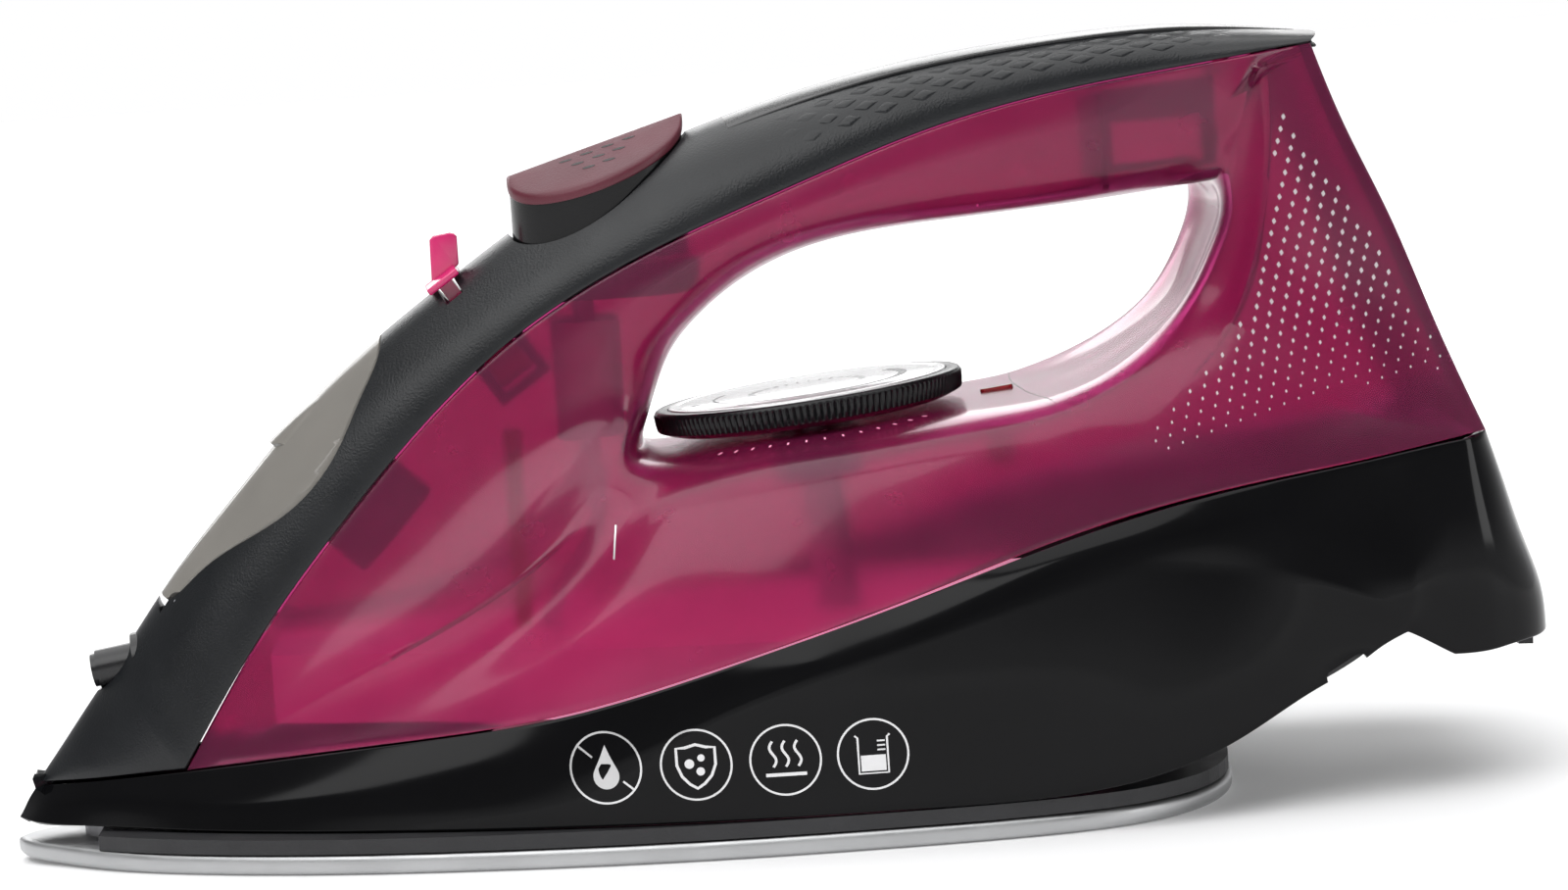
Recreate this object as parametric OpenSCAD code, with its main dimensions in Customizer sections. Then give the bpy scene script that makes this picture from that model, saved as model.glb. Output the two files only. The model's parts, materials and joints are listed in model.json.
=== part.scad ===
// Cordless steam iron. +X runs from the nose to the heel, +Z is up, and the origin is on the
// surface that the soleplate rests on, below the middle of the length. Millimetres.

/* [Soleplate] */
// Length of the soleplate
sole_len = 228; // [224:1:230]
// Width of the soleplate
sole_w = 114; // [110:1:116]
// Thickness of the soleplate
sole_t = 3.6; // [3:0.1:3.7]
// Radius of a steam hole
steam_hole_r = 1.3; // [0.8:0.1:1.6]

/* [Casing] */
// Wall thickness of the moulded shells
wall = 2; // [1.6:0.1:2.2]
// Gap along the seams between moulded shells
seam = 0.3; // [0.2:0.05:0.4]

/* [Controls] */
// Radius of the temperature dial
dial_r = 29.3; // [27:0.1:29.5]
// Height of the temperature dial
dial_h = 5.4; // [4:0.1:5.5]
// Half the length of the pair of buttons
button_len = 16.75; // [15:0.25:17]
// Width of one button
button_w = 13.7; // [12:0.1:14]
// Distance that a button is pushed
button_travel = 4; // [3:0.5:4]
// Clearance between a shaft and its bore
run_gap = 0.05; // [0.02:0.01:0.08]

/* [Hidden] */
$fn = 48;
U_STEPS = 3;
V_STEPS = 2;

// ---- curves and sheets ----
function chord(a, b) = max(norm(b - a), 0.001);
// Tangent of a smooth curve at b between a and c
function tangent(a, b, c) = let (p = chord(a, b), q = chord(b, c))
    ((b - a) / p * q + (c - b) / q * p) / (p + q);
function hermite(p, q, tp, tq, t) = let (d = chord(p, q))
    (2 * t ^ 3 - 3 * t ^ 2 + 1) * p + (t ^ 3 - 2 * t ^ 2 + t) * d * tp
    + (3 * t ^ 2 - 2 * t ^ 3) * q + (t ^ 3 - t ^ 2) * d * tq;
// A smooth curve through pts, n steps a span; corner[i] from 0 (smooth) to 1 (a corner) at each point
function spline(pts, n, corner = [], closed = false) = let (
    m = len(pts), last = closed ? m - 1 : m - 2,
    at = function (i) closed ? pts[(i + m) % m] : pts[max(0, min(m - 1, i))],
    sharp = function (i) let (k = closed ? (i + m) % m : max(0, min(m - 1, i)))
        (!closed && (k == 0 || k == m - 1)) ? 1 : (k < len(corner) ? corner[k] : 0),
    inner = function (i) let (s = sharp(i), line = (at(i + 1) - at(i)) / chord(at(i), at(i + 1)))
        s >= 1 ? line : (1 - s) * tangent(at(i - 1), at(i), at(i + 1)) + s * line,
    outer = function (i) let (s = sharp(i), line = (at(i) - at(i - 1)) / chord(at(i - 1), at(i)))
        s >= 1 ? line : (1 - s) * tangent(at(i - 1), at(i), at(i + 1)) + s * line)
    [for (i = [0 : last]) for (k = [0 : n - 1]) hermite(at(i), at(i + 1), inner(i), outer(i + 1), k / n),
     if (!closed) pts[m - 1]];

// Normal of a grid of points at [i][j], pointing by the right-hand rule from i to j
function grid_normal(g, i, j, loop) = let (
    m = len(g), n = len(g[0]),
    du = loop ? g[(i + 1) % m][j] - g[(i + m - 1) % m][j] : g[min(m - 1, i + 1)][j] - g[max(0, i - 1)][j],
    dv = g[i][min(n - 1, j + 1)] - g[i][max(0, j - 1)],
    c = cross(du, dv)) c / max(norm(c), 0.0001);
function offset_grid(g, d, loop) = [for (i = [0 : len(g) - 1]) [for (j = [0 : len(g[0]) - 1])
    g[i][j] + d * grid_normal(g, i, j, loop)]];

// A solid sheet between two grids of the same size. loop joins the last row to the first.
module sheet(top, bottom, loop = false) {
    m = len(top);
    n = len(top[0]);
    rows = loop ? m : m - 1;
    pts = [for (r = top) for (p = r) p, for (r = bottom) for (p = r) p];
    t = function (i, j) (i % m) * n + j;
    b = function (i, j) m * n + (i % m) * n + j;
    faces = [
        for (i = [0 : rows - 1]) for (j = [0 : n - 2]) each [
            [t(i, j), t(i + 1, j), t(i + 1, j + 1)], [t(i, j), t(i + 1, j + 1), t(i, j + 1)],
            [b(i, j), b(i + 1, j + 1), b(i + 1, j)], [b(i, j), b(i, j + 1), b(i + 1, j + 1)]],
        for (i = [0 : rows - 1]) each [
            [t(i, 0), b(i, 0), b(i + 1, 0)], [t(i, 0), b(i + 1, 0), t(i + 1, 0)],
            [t(i, n - 1), b(i + 1, n - 1), b(i, n - 1)], [t(i, n - 1), t(i + 1, n - 1), b(i + 1, n - 1)]],
        if (!loop) each [for (j = [0 : n - 2]) each [
            [t(0, j), b(0, j + 1), b(0, j)], [t(0, j), t(0, j + 1), b(0, j + 1)],
            [t(m - 1, j), b(m - 1, j), b(m - 1, j + 1)], [t(m - 1, j), b(m - 1, j + 1), t(m - 1, j + 1)]]]
    ];
    polyhedron(pts, [for (f = faces) [f.z, f.y, f.x]]);
}
// The near half of a section [x, half width, z], carried over to the far side
function both_sides(half) = concat([for (p = half) [p.x, -p.y, p.z]],
    [for (i = [len(half) - 2 : -1 : 0]) half[i]]);
function mirrored(row) = [for (p = row) [p.x, -p.y, p.z]];
// The inner skin of a wall: outer skin moved by d along its normal, except that the first and last
// columns move straight towards the middle plane, so that walls meet along a seam without a wedge
function inner_grid(g, d, loop) = let (n = len(g[0]), o = offset_grid(g, d, loop))
    [for (i = [0 : len(g) - 1]) [for (j = [0 : n - 1]) (j == 0 || j == n - 1) ?
        [g[i][j].x, sign(g[i][j].y) * max(abs(g[i][j].y) - abs(d), 0.2), g[i][j].z] : o[i][j]]];
// A solid between two points
module rod(a, b, r) {
    d = b - a;
    translate(a) rotate([0, acos(d.z / norm(d)), atan2(d.y, d.x)]) cylinder(r = r, h = norm(d));
}
// A tube with SIDES sides that follows pts
SIDES = 8;
module hose(pts, r) {
    n = len(pts);
    ring = function (i) let (
        t = pts[min(n - 1, i + 1)] - pts[max(0, i - 1)], a = t / norm(t),
        u0 = cross(a, abs(a.y) > 0.9 ? [1, 0, 0] : [0, 1, 0]), u = u0 / norm(u0), v = cross(a, u))
        [for (k = [0 : SIDES - 1]) pts[i] + r * (cos(k * 360 / SIDES) * u + sin(k * 360 / SIDES) * v)];
    polyhedron([for (i = [0 : n - 1]) each ring(i)], [
        [for (k = [0 : SIDES - 1]) k],
        [for (k = [SIDES - 1 : -1 : 0]) (n - 1) * SIDES + k],
        for (i = [0 : n - 2]) for (k = [0 : SIDES - 1])
            let (m = (k + 1) % SIDES, a = i * SIDES, b = a + SIDES)
            each [[a + k, b + k, b + m], [a + k, b + m, a + m]]]);
}

// ---- soleplate and heating ----
// Half outline of the soleplate from the nose to the middle of its rear edge, [x, half width]
SOLE = [[-145, 0], [-143.4, 4.2], [-138, 10], [-127, 19.5], [-111, 29.5], [-88, 39.5], [-54, 49],
    [-20, 54.8], [15, 57], [42, 56.5], [60, 52.5], [72, 43.5], [79.5, 30], [82.3, 15], [83, 0]];
SOLE_X = -31;
SOLE_L0 = 228;
SOLE_W0 = 114;
// The whole outline, moved in by d
function sole_outline(d) = let (
    h = spline([for (p = SOLE) [p.x, p.y, 0]], U_STEPS),
    kx = (sole_len - 2 * d) / SOLE_L0, ky = (sole_w - 2 * d) / SOLE_W0)
    concat([for (p = h) [SOLE_X + (p.x - SOLE_X) * kx, -p.y * ky]],
        [for (i = [len(h) - 2 : -1 : 1]) [SOLE_X + (h[i].x - SOLE_X) * kx, h[i].y * ky]]);
CAST_D = 11;
CAST_TOP = 10;
ELEMENT_R = 3.5;
ELEMENT_Y = 24;
CHAMBER_X = -30;
CHAMBER_R = 19;
CHAMBER_END = 58;
VALVE_X = -47;
SCREW_SPOTS = [[-98, 0], [60, 30], [60, -30]];
// Steam holes: rows that fan out from the nose, [x of the row, first half width, holes in a side]
HOLE_ROWS = [[-128, 5, 1], [-116, 8, 2], [-102, 12, 2], [-86, 17, 2], [-68, 21, 2], [-48, 25, 2],
     [-26, 28, 2],
    [0, 30, 2], [28, 30, 2]];

module soleplate() {
    color("silver") difference() {
        union() {
            linear_extrude(sole_t) polygon(sole_outline(0.9));
            translate([0, 0, 0.9]) linear_extrude(sole_t - 1.5) polygon(sole_outline(0));
        }
        for (r = HOLE_ROWS) for (k = [0 : r[2] - 1]) for (s = [-1, 1])
            translate([r[0] + 4 * k, s * (r[1] + 9 * k), -1]) cylinder(r = steam_hole_r, h = 9, $fn = 16);
    }
}
module chamber_shape(grow) {
    translate([CHAMBER_X, 0]) circle(CHAMBER_R + grow);
    translate([CHAMBER_X, -CHAMBER_R - grow])
        square([CHAMBER_END - CHAMBER_X + grow, 2 * (CHAMBER_R + grow)]);
}
module heating_casting() {
    color("gainsboro") difference() {
        translate([0, 0, sole_t]) linear_extrude(CAST_TOP - sole_t) polygon(sole_outline(CAST_D + 1.5));
        translate([0, 0, sole_t + 2]) linear_extrude(20) chamber_shape(-4);
        for (p = SCREW_SPOTS) translate([p.x, p.y, sole_t + 1]) cylinder(r = 2.05, h = 20);
    }
}
module heating_element() {
    z = CAST_TOP + ELEMENT_R;
    color("dimgray") union() {
        translate([CHAMBER_X, 0, z]) rotate([0, 0, 90]) rotate_extrude(angle = 180)
            translate([ELEMENT_Y, 0]) circle(ELEMENT_R);
        for (s = [-1, 1]) {
            translate([CHAMBER_X, s * ELEMENT_Y, z]) rotate([0, 90, 0]) cylinder(r = ELEMENT_R, h = 84);
            translate([CHAMBER_X + 83, s * ELEMENT_Y, z]) rotate([0, 90, 0]) cylinder(r = 1.5, h = 7);
        }
    }
}
module chamber_gasket() {
    color("darkorange") translate([0, 0, CAST_TOP]) linear_extrude(0.8) difference() {
        chamber_shape(0);
        chamber_shape(-4);
    }
}
module chamber_cover() {
    color("lightgray") translate([0, 0, CAST_TOP + 0.8]) linear_extrude(1.4) difference() {
        chamber_shape(0);
        translate([VALVE_X, 0]) circle(1.2);
    }
}
SEAT_Z = CAST_TOP + 2.2;
module steam_valve_seat() {
    color("goldenrod") translate([VALVE_X, 0, SEAT_Z]) difference() {
        cylinder(r = 3.1, h = 5);
        translate([0, 0, -1]) cylinder(r = 1.2, h = 9);
    }
}
module thermal_fuse() {
    color("white") translate([30, -13, SEAT_Z + 2]) rotate([0, 90, 0]) cylinder(r = 2, h = 18);
}
module screw(head_r, shank_r, len) {
    difference() {
        union() {
            cylinder(r = head_r, h = 2);
            translate([0, 0, -len]) cylinder(r = shank_r, h = len + 0.5);
        }
        translate([0, 0, 1]) linear_extrude(3) {
            square([head_r * 1.3, 0.7], center = true);
            square([0.7, head_r * 1.3], center = true);
        }
    }
}
module sole_screws() {
    color("silver") for (p = SCREW_SPOTS) translate([p.x, p.y, CAST_TOP]) screw(3.4, 2, 5);
}
SHIELD_Z = [3.8, 6.5];
COLLAR_TOP = 20;
module heat_shield() {
    color("#26262a") union() {
        difference() {
            translate([0, 0, SHIELD_Z[0]]) linear_extrude(SHIELD_Z[1] - SHIELD_Z[0])
                polygon(sole_outline(0.5));
            translate([0, 0, 0]) linear_extrude(20) polygon(sole_outline(CAST_D - 0.5));
            translate([-150, -20, 0]) cube([22, 40, 20]);
        }
        intersection() {
            translate([0, 0, SHIELD_Z[0]]) linear_extrude(COLLAR_TOP - SHIELD_Z[0]) difference() {
                polygon(sole_outline(CAST_D - 3));
                polygon(sole_outline(CAST_D - 1));
            }
            translate([30, -60, 0]) cube([60, 120, 30]);
        }
    }
}

// ---- housing ----
// Stations of the housing from the nose to the heel's middle: bottom, under the crease, crease,
// upper flank and seam with the tank, as [x, half width, z]
HOUSING = [
    [[-144.5, 0, 8], [-143.5, 0, 9.6], [-142.7, 0, 11], [-141.6, 0, 12.6], [-140.5, 0, 14]],
    [[-141.5, 4.8, 7.8], [-140.5, 4.6, 9.5], [-139.5, 4.4, 11], [-138, 4.2, 12.8], [-136.6, 4, 14.4]],
    [[-130, 12.3, 7.4], [-129.7, 12, 9.5], [-129.2, 11.6, 11.5], [-128.6, 10.7, 13.4], [-128, 9.6, 15.3]],
    [[-111, 22.5, 7], [-111, 21.8, 9.5], [-111, 20.8, 12], [-111, 19, 14.5], [-111, 17.1, 17]],
    [[-75, 38, 6.8], [-75, 37.5, 10], [-75, 36.3, 13.8], [-75, 34.5, 17.5], [-75, 32, 21.3]],
    [[-40, 49, 6.8], [-40, 48.9, 11], [-40, 48.2, 16], [-40, 46.7, 21], [-40, 44.7, 26.3]],
    [[-10, 54.8, 6.8], [-10, 54.6, 17], [-10, 54.3, 27], [-10, 53.5, 30.5], [-10, 52.2, 34.3]],
    [[20, 57, 6.8], [20, 56.4, 22], [20, 55.6, 36.6], [20, 54.4, 39.5], [20, 52.7, 42.8]],
    [[45, 57, 7], [45, 56, 26], [45, 54.2, 43.6], [45, 53, 47], [45.5, 50.6, 50.3]],
    [[62, 56, 9], [62, 54.8, 28], [62, 52.3, 46.5], [62, 51.3, 50.5], [62, 48.6, 54.4]],
    [[78, 53.5, 14], [78, 52.7, 30], [78, 50.4, 44.8], [78, 49.6, 50.5], [79, 46.4, 57.6]],
    [[92, 50.5, 21], [92, 50, 31], [92, 49.6, 41.5], [92, 47.5, 50.5], [93, 44.4, 59.4]],
    [[104, 47.5, 26.7], [104, 47.4, 31], [104, 48.3, 36], [104, 45.7, 48], [105, 42.7, 60.8]],
    [[111, 45.5, 29.8], [111.3, 46.2, 31.5], [111.8, 46.8, 33.5], [112.5, 44.8, 47], [113, 41.7, 61.9]],
    [[119.5, 45, 25], [119.7, 45, 33], [120, 44.6, 41.5], [120.5, 43, 52], [121, 40.6, 63]],
    [[129, 43, 25.4], [129, 43, 34], [128.6, 42.3, 43.5], [127, 41, 54], [125.5, 39.6, 63.5]],
    [[136.8, 37.5, 26.2], [136.4, 37.5, 34], [134, 37, 43.5], [131.5, 36.5, 53.5], [128.5, 36.3, 64]],
    [[140.5, 22, 27], [139.8, 22, 34], [137, 22, 43.5], [133.6, 22, 53], [130, 22, 63.6]],
    [[141.5, 0, 27.4], [140.7, 0, 34.2], [137.9, 0, 43.5], [134.4, 0, 53], [130.8, 0, 63.6]]];
HOUSING_CORNERS = [for (i = [0 : len(HOUSING) - 1]) i == 13 || i == 14 ? 0.8 : 0];
housing_rails = [for (j = [0 : 4]) spline([for (s = HOUSING) s[j]], U_STEPS, HOUSING_CORNERS)];
housing_near = [for (i = [0 : len(housing_rails[0]) - 1]) spline([for (r = housing_rails) r[i]], V_STEPS)];
housing_skin = concat([for (r = housing_near) mirrored(r)],
    [for (i = [len(housing_near) - 2 : -1 : 1]) housing_near[i]]);
// A shallow slot in each side's lower edge, x and z of its ends
NOTCH = [[96.5, 23.2], [101.5, 25.6]];
NOTCH_R = 1.4;
module side_notch() {
    for (s = [-1, 1]) hull() for (p = NOTCH) translate([p[0], s * 52, p[1]]) rotate([90, 0, 0])
        cylinder(r = NOTCH_R, h = 20, center = true);
}
module lower_housing() {
    color("#101012") resize([0, 0, 0]) difference() {
        sheet(housing_skin, inner_grid(housing_skin, -wall, true), loop = true);
        side_notch();
    }
}
// The underside behind the soleplate, from edge to edge of the housing
BASE_X = 56;
BASE_Y = 16;
BASE_COLS = 6;
base_rail = [for (r = housing_near) if (r[0].x > BASE_X && r[0].y > BASE_Y) r[0]];
base_skin = [for (p = base_rail) [for (k = [-BASE_COLS : BASE_COLS])
    [p.x - (p.x > 136 ? 3 : 0), k / BASE_COLS * (p.y - wall - seam), p.z + 0.4]]];
DOCK_X = [122, 134];
DOCK_Y = 21;
DOCK_TOP = 39;
module dock_space(grow) {
    translate([DOCK_X[0] - grow, -DOCK_Y - grow, 10])
        cube([DOCK_X[1] - DOCK_X[0] + 2 * grow, 2 * (DOCK_Y + grow), DOCK_TOP + grow - 10]);
}
module base_cover() {
    color("#17171a") resize([0, 0, 0]) difference() {
        sheet(offset_grid(base_skin, wall, false), base_skin);
        linear_extrude(40) polygon(sole_outline(CAST_D - 4));
        dock_space(1.7);
    }
}
module dock_socket() {
    color("#202024") difference() {
        intersection() {
            dock_space(1.5);
            translate([100, -60, 27]) cube([60, 120, 30]);
        }
        dock_space(0);
        for (y = [-12, 0, 12]) translate([129, y, 30]) cylinder(r = 1.6, h = 30);
    }
}
module dock_contacts() {
    color("#c9a24a") for (y = [-12, 0, 12]) translate([129, y, 30]) {
        cylinder(r = 2, h = DOCK_TOP - 30);
        cylinder(r = 1.6, h = 14);
    }
}
module terminal_block() {
    color("ivory") translate([119, -16, 42.5]) difference() {
        cube([13, 32, 6]);
        for (y = [4, 16, 28]) translate([10, y, -1]) cylinder(r = 2.1, h = 6);
    }
}
WIRES = [
    [[118.7, -12, 45.5], [106, -14, 43.5], [89, -20, 35], [75, -23, 27], [67.5, -24, 20], [64, -24, 15],
        [60.6, -24, 13.6]],
    [[118.7, 12, 45.5], [106, 14, 43.5], [89, 20, 35], [75, 23, 27], [67.5, 24, 20], [64, 24, 15],
     [60.6, 24, 13.6]],
    [[118.7, 0, 45.5], [104, -2, 42.5], [86, -6, 30], [68, -11, 20], [56, -13, 15.2], [48.6, -13, 14.2]]];
module wires() {
    color("firebrick") for (w = WIRES) hose(spline(w, 3), 1.2);
}
module housing_screws() {
    color("silver") for (s = [-1, 1]) translate([114, s * 30, 36]) screw(3.4, 1.9, 4);
}

// ---- tank ----
// Stations round the handle's opening. Each is a section from the tank's outer seam to the middle of
// the opening's surface: seam, flank, edge, hollow, lip, crown and middle, as [x, half width, z].
TANK = [
    [[-111, 17, 17.2], [-80, 26.5, 33], [-45, 34.5, 52], [-34, 34, 61], [-27, 31, 67],
     [-22.8, 17, 69.5], [-22.3, 0, 70.5]],
    [[-95, 16.5, 41], [-70, 22.5, 50], [-47, 27, 60], [-36, 28, 66.5], [-28, 26.5, 71.5],
     [-22.6, 15, 74.5], [-21.8, 0, 75]],
    [[-80.5, 16.5, 58.5], [-62, 20.5, 63.5], [-46, 22.5, 69], [-35, 22.5, 74], [-26, 20.5, 78],
     [-20.3, 12, 80.5], [-19.5, 0, 81]],
    [[-66, 16.8, 74], [-53, 19.3, 76.5], [-41, 20.8, 79.5], [-31, 20.8, 82.5], [-23, 18.5, 85],
     [-17.3, 11, 87], [-16.4, 0, 87]],
    [[-43.6, 18, 93], [-35.5, 19.8, 92.5], [-28, 20.5, 92.3], [-21, 20, 92.3], [-15.5, 17.3, 92.7],
     [-11.6, 10.5, 93.2], [-10.8, 0, 93.4]],
    [[-18, 19.8, 106.6], [-14.5, 20.6, 104.8], [-11, 20.8, 103], [-8, 19.8, 101.6],
     [-5.2, 16.8, 100.3], [-3, 10, 99.5], [-2.5, 0, 99.3]],
    [[7, 20, 116], [8.2, 20.8, 113.3], [9.4, 20.8, 110.8], [10.5, 19.6, 108.4], [11.5, 16.5, 106.4],
     [12.3, 10, 105.4], [12.5, 0, 105.1]],
    [[32, 20, 124.5], [32, 20.9, 120.5], [32, 20.9, 116], [32, 19.6, 111.8], [32, 16.3, 109],
     [32, 10, 107.8], [32, 0, 107.4]],
    [[58, 20.5, 130.2], [58, 21.2, 125], [58, 21, 119.5], [58, 19.6, 114.2], [58, 16.3, 110.8],
     [58, 10, 109.4], [58, 0, 108.9]],
    [[83, 22.3, 133.4], [82, 22, 127.5], [81.2, 21.3, 121.5], [80.5, 19.8, 116], [80, 16.8, 112.6],
     [79.5, 10, 111.2], [79.5, 0, 110.8]],
    [[102.5, 28.5, 136], [98, 28.3, 135], [93.5, 27.3, 133.8], [90, 23.5, 124], [86, 20.5, 113.5],
     [85.5, 11, 111.8], [85.5, 0, 111.3]],
    [[107, 31, 122], [100.5, 31, 121], [93.5, 28.5, 120], [90, 24, 115.5], [86.5, 21, 110],
     [86.7, 11, 109.5], [87, 0, 109.3]],
    [[114, 34, 104.5], [104, 33.5, 103], [91, 29.5, 103.5], [88, 25, 102.5], [84.3, 21.5, 100.5],
     [84.8, 11, 100.8], [85.3, 0, 101]],
    [[121, 37, 84], [108, 36, 83], [87, 31.5, 91.5], [84, 27, 91.5], [79, 23, 91], [79.6, 12, 91.2],
     [80.2, 0, 91.3]],
    [[128.5, 39, 64.5], [105, 41, 70], [81, 35.5, 82.5], [76.5, 31, 84], [71, 29, 83.3],
     [71.3, 14, 83.8], [71.8, 0, 84]],
    [[105, 42.5, 61], [93, 43, 64.5], [74, 39, 76], [69, 36.5, 78], [62, 35.5, 78], [62.3, 16, 78.8],
     [62.5, 0, 79]],
    [[80, 46, 58], [76, 45.5, 62], [66, 43, 69], [61, 41.5, 72.5], [53, 39, 74.5], [52, 18, 75.6],
     [52, 0, 75.8]],
    [[52, 49.5, 52.5], [50.5, 48, 60], [47, 45.5, 67], [43, 43, 70.8], [38, 38.5, 72.8],
     [37, 19, 74.1], [37, 0, 74.3]],
    [[20, 52.5, 43], [19.5, 50.5, 53], [19, 46.5, 63], [18, 42.5, 68.5], [17, 37, 70.8],
     [17, 19, 72.3], [17, 0, 72.5]],
    [[-10, 52, 34.5], [-9, 50, 46], [-7, 46, 58], [-6, 41, 65.5], [-4, 35.5, 68.6], [-3, 18, 70.5],
     [-3, 0, 70.7]],
    [[-40, 44.5, 26.5], [-33, 44.5, 40], [-26, 41.5, 54], [-21, 37.5, 62.5], [-16, 33, 66.5],
     [-14, 17, 69], [-14, 0, 69.2]],
    [[-75, 31.8, 21.5], [-58, 34, 34], [-38, 36, 51], [-31, 35, 60], [-23, 31.5, 66], [-20, 17, 68.7],
     [-20, 0, 69]]];
// Stations where the outer seam turns a corner: lower front, upper rear and lower rear
LOWER_FRONT = 0;
UPPER_REAR = 10;
LOWER_REAR = 14;
// How sharp the edge rail is at each station
EDGE_SHARP = [0.2, 0.1, 0, 0, 0, 0, 0, 0, 0, 0.3, 0.8, 0.9, 0.9, 0.9, 0.9, 0.8, 0.6, 0.3, 0.2, 0.2, 0.2, 0.2];
function is_corner(i, outer) = i == UPPER_REAR || (outer && (i == LOWER_FRONT || i == LOWER_REAR));
function tank_rail(j) = spline([for (s = TANK) s[j]], U_STEPS,
    [for (i = [0 : len(TANK) - 1]) is_corner(i, j < 3) ? 1 : 0], closed = true);
tank_rails = [for (j = [0 : 6]) tank_rail(j)];
edge_sharp = [for (p = spline([for (s = EDGE_SHARP) [s, 0, 0]], U_STEPS, closed = true)) p.x];
function tank_section(i) = spline(both_sides([for (r = tank_rails) r[i]]), V_STEPS,
    [0, 0, edge_sharp[i], 0, 0, 0, 0, 0, 0, 0, edge_sharp[i]]);
tank_skin = [for (i = [0 : len(tank_rails[0]) - 1]) tank_section(i)];

// The wall across the back, between the tank's two rear edges
REAR_CROWN = 2;
REAR_COLS = 6;
rear_skin = [for (i = [UPPER_REAR * U_STEPS : LOWER_REAR * U_STEPS]) let (p = tank_rails[0][i])
    [for (k = [-REAR_COLS : REAR_COLS]) [p.x + REAR_CROWN * (1 - (k / REAR_COLS) ^ 2),
        k / REAR_COLS * (p.y - wall - seam), p.z]]];
module rear_cover() {
    color("#101012") sheet(rear_skin, offset_grid(rear_skin, -wall, false));
}

// The dial's axis leans forward a little, square to the deck
DIAL_AT = [8.7, 0, 78.1];
DIAL_TILT = -5;
BUSH_R = 8;
SHAFT_R = 4;
module at_dial() {
    translate(DIAL_AT) rotate([0, DIAL_TILT, 0]) children();
}
LENS_AT = [44.5, 0, 75.1];
LENS_TILT = -6;
module lens_shape(grow, h) {
    translate(LENS_AT) rotate([0, LENS_TILT, 0]) translate([0, 0, -h]) linear_extrude(h + 0.4 + grow) {
        for (s = [-1, 1]) translate([2.1 * s, 0]) circle(1 + grow);
        square([4.2, 2 + 2 * grow], center = true);
    }
}
module water_tank() {
    color("mediumvioletred", 0.6) resize([0, 0, 0]) difference() {
        sheet(inner_grid(tank_skin, wall, true), tank_skin, loop = true);
        at_dial() translate([0, 0, -25]) cylinder(r = BUSH_R + 0.15, h = 22);
        lens_shape(0.15, 6);
    }
}
// The tray that closes the tank, [x, half width]
TRAY = [[-94, 13.5], [-80, 20], [-50, 31], [-20, 40.5], [10, 45.5], [40, 46.5], [64, 45]];
TRAY_Z = [24, 36.6];
function tray_outline(d) = let (h = spline([for (p = TRAY) [p.x, p.y, 0]], 2))
    concat([for (i = [0 : len(h) - 1]) [h[i].x + (i == 0 ? d : i == len(h) - 1 ? -d : 0), d - h[i].y]],
        [for (i = [len(h) - 1 : -1 : 0]) [h[i].x + (i == 0 ? d : i == len(h) - 1 ? -d : 0), h[i].y - d]]);
module tank_floor() {
    color("mistyrose") difference() {
        translate([0, 0, TRAY_Z[0]]) linear_extrude(TRAY_Z[1] - TRAY_Z[0]) polygon(tray_outline(0));
        translate([0, 0, TRAY_Z[0] - 1]) linear_extrude(TRAY_Z[1] - TRAY_Z[0] - 1) polygon(tray_outline(2));
        translate([VALVE_X, 0, 0]) cylinder(r = 3, h = 60);
        translate([12.3, 0, 0]) cylinder(r = 6, h = 60);
    }
}

// ---- nose and handle cover ----
// Part of the seam ahead of the tank, where the cover meets the housing
NOSE_SEAM = [[-139.7, 1.5, 14.5], [-128, 9.5, 15.6], [-119, 13.5, 16.5], [-111, 17, 17.2]];
NOSE_RIDGE = [[-140.5, 0, 14.6], [-135, 0, 21.7], [-130, 0, 28.3]];
// The ridge of the cover across from each of the tank's stations, from the lower front corner
RIDGE = [[-124, 0, 36], [-111, 0, 53], [-99, 0, 66.3], [-82.5, 0, 83.5], [-56, 0, 103.5], [-28, 0, 120.5],
    [3, 0, 131.5], [32, 0, 137.3], [58, 0, 140], [83, 0, 140.6], [105, 0, 138.4]];
// Squareness of the cover's section at each station: 2 is an ellipse, less is sharper
SQUARE = [1.5, 1.5, 1.5, 1.55, 1.6, 1.6, 1.6, 1.6, 1.7, 2, 2.4, 2.5, 2.6, 3];
COVER_V = 6;
COVER_LIFT = 0.25;
nose_count = U_STEPS * (len(NOSE_SEAM) - 1);
cover_seam = [for (p = concat([for (i = [0 : nose_count - 1]) spline(NOSE_SEAM, U_STEPS)[i]],
    [for (i = [0 : U_STEPS * UPPER_REAR]) tank_rails[0][i]])) p + [-COVER_LIFT, 0, COVER_LIFT]];
cover_ridge = spline(concat(NOSE_RIDGE, RIDGE), U_STEPS);
cover_square = [for (p = spline([for (s = SQUARE) [s, 0, 0]], U_STEPS)) p.x];
function cover_point(a, t, square, q) = let (up = pow(sin(q), 2 / square), out = pow(cos(q), 2 / square))
    [a.x + (t.x - a.x) * up, a.y * out, a.z + (t.z - a.z) * up];
cover_skin = [for (i = [0 : len(cover_seam) - 1]) both_sides([for (k = [0 : COVER_V])
    cover_point(cover_seam[i], cover_ridge[i], cover_square[i], k * 90 / COVER_V)])];
module cover_wall(d) {
    sheet(cover_skin, inner_grid(cover_skin, -d, false));
}
// The space inside the cover behind the lid
CORE_ROWS = [nose_count - 2, nose_count + 12];
module cover_core(d) {
    g = offset_grid(cover_skin, -d, false);
    top = [for (i = [CORE_ROWS[0] : CORE_ROWS[1]]) g[i]];
    sheet(top, [for (r = top) [for (p = r) [p.x + 19, p.y * 0.6, p.z - 18]]]);
}

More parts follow.
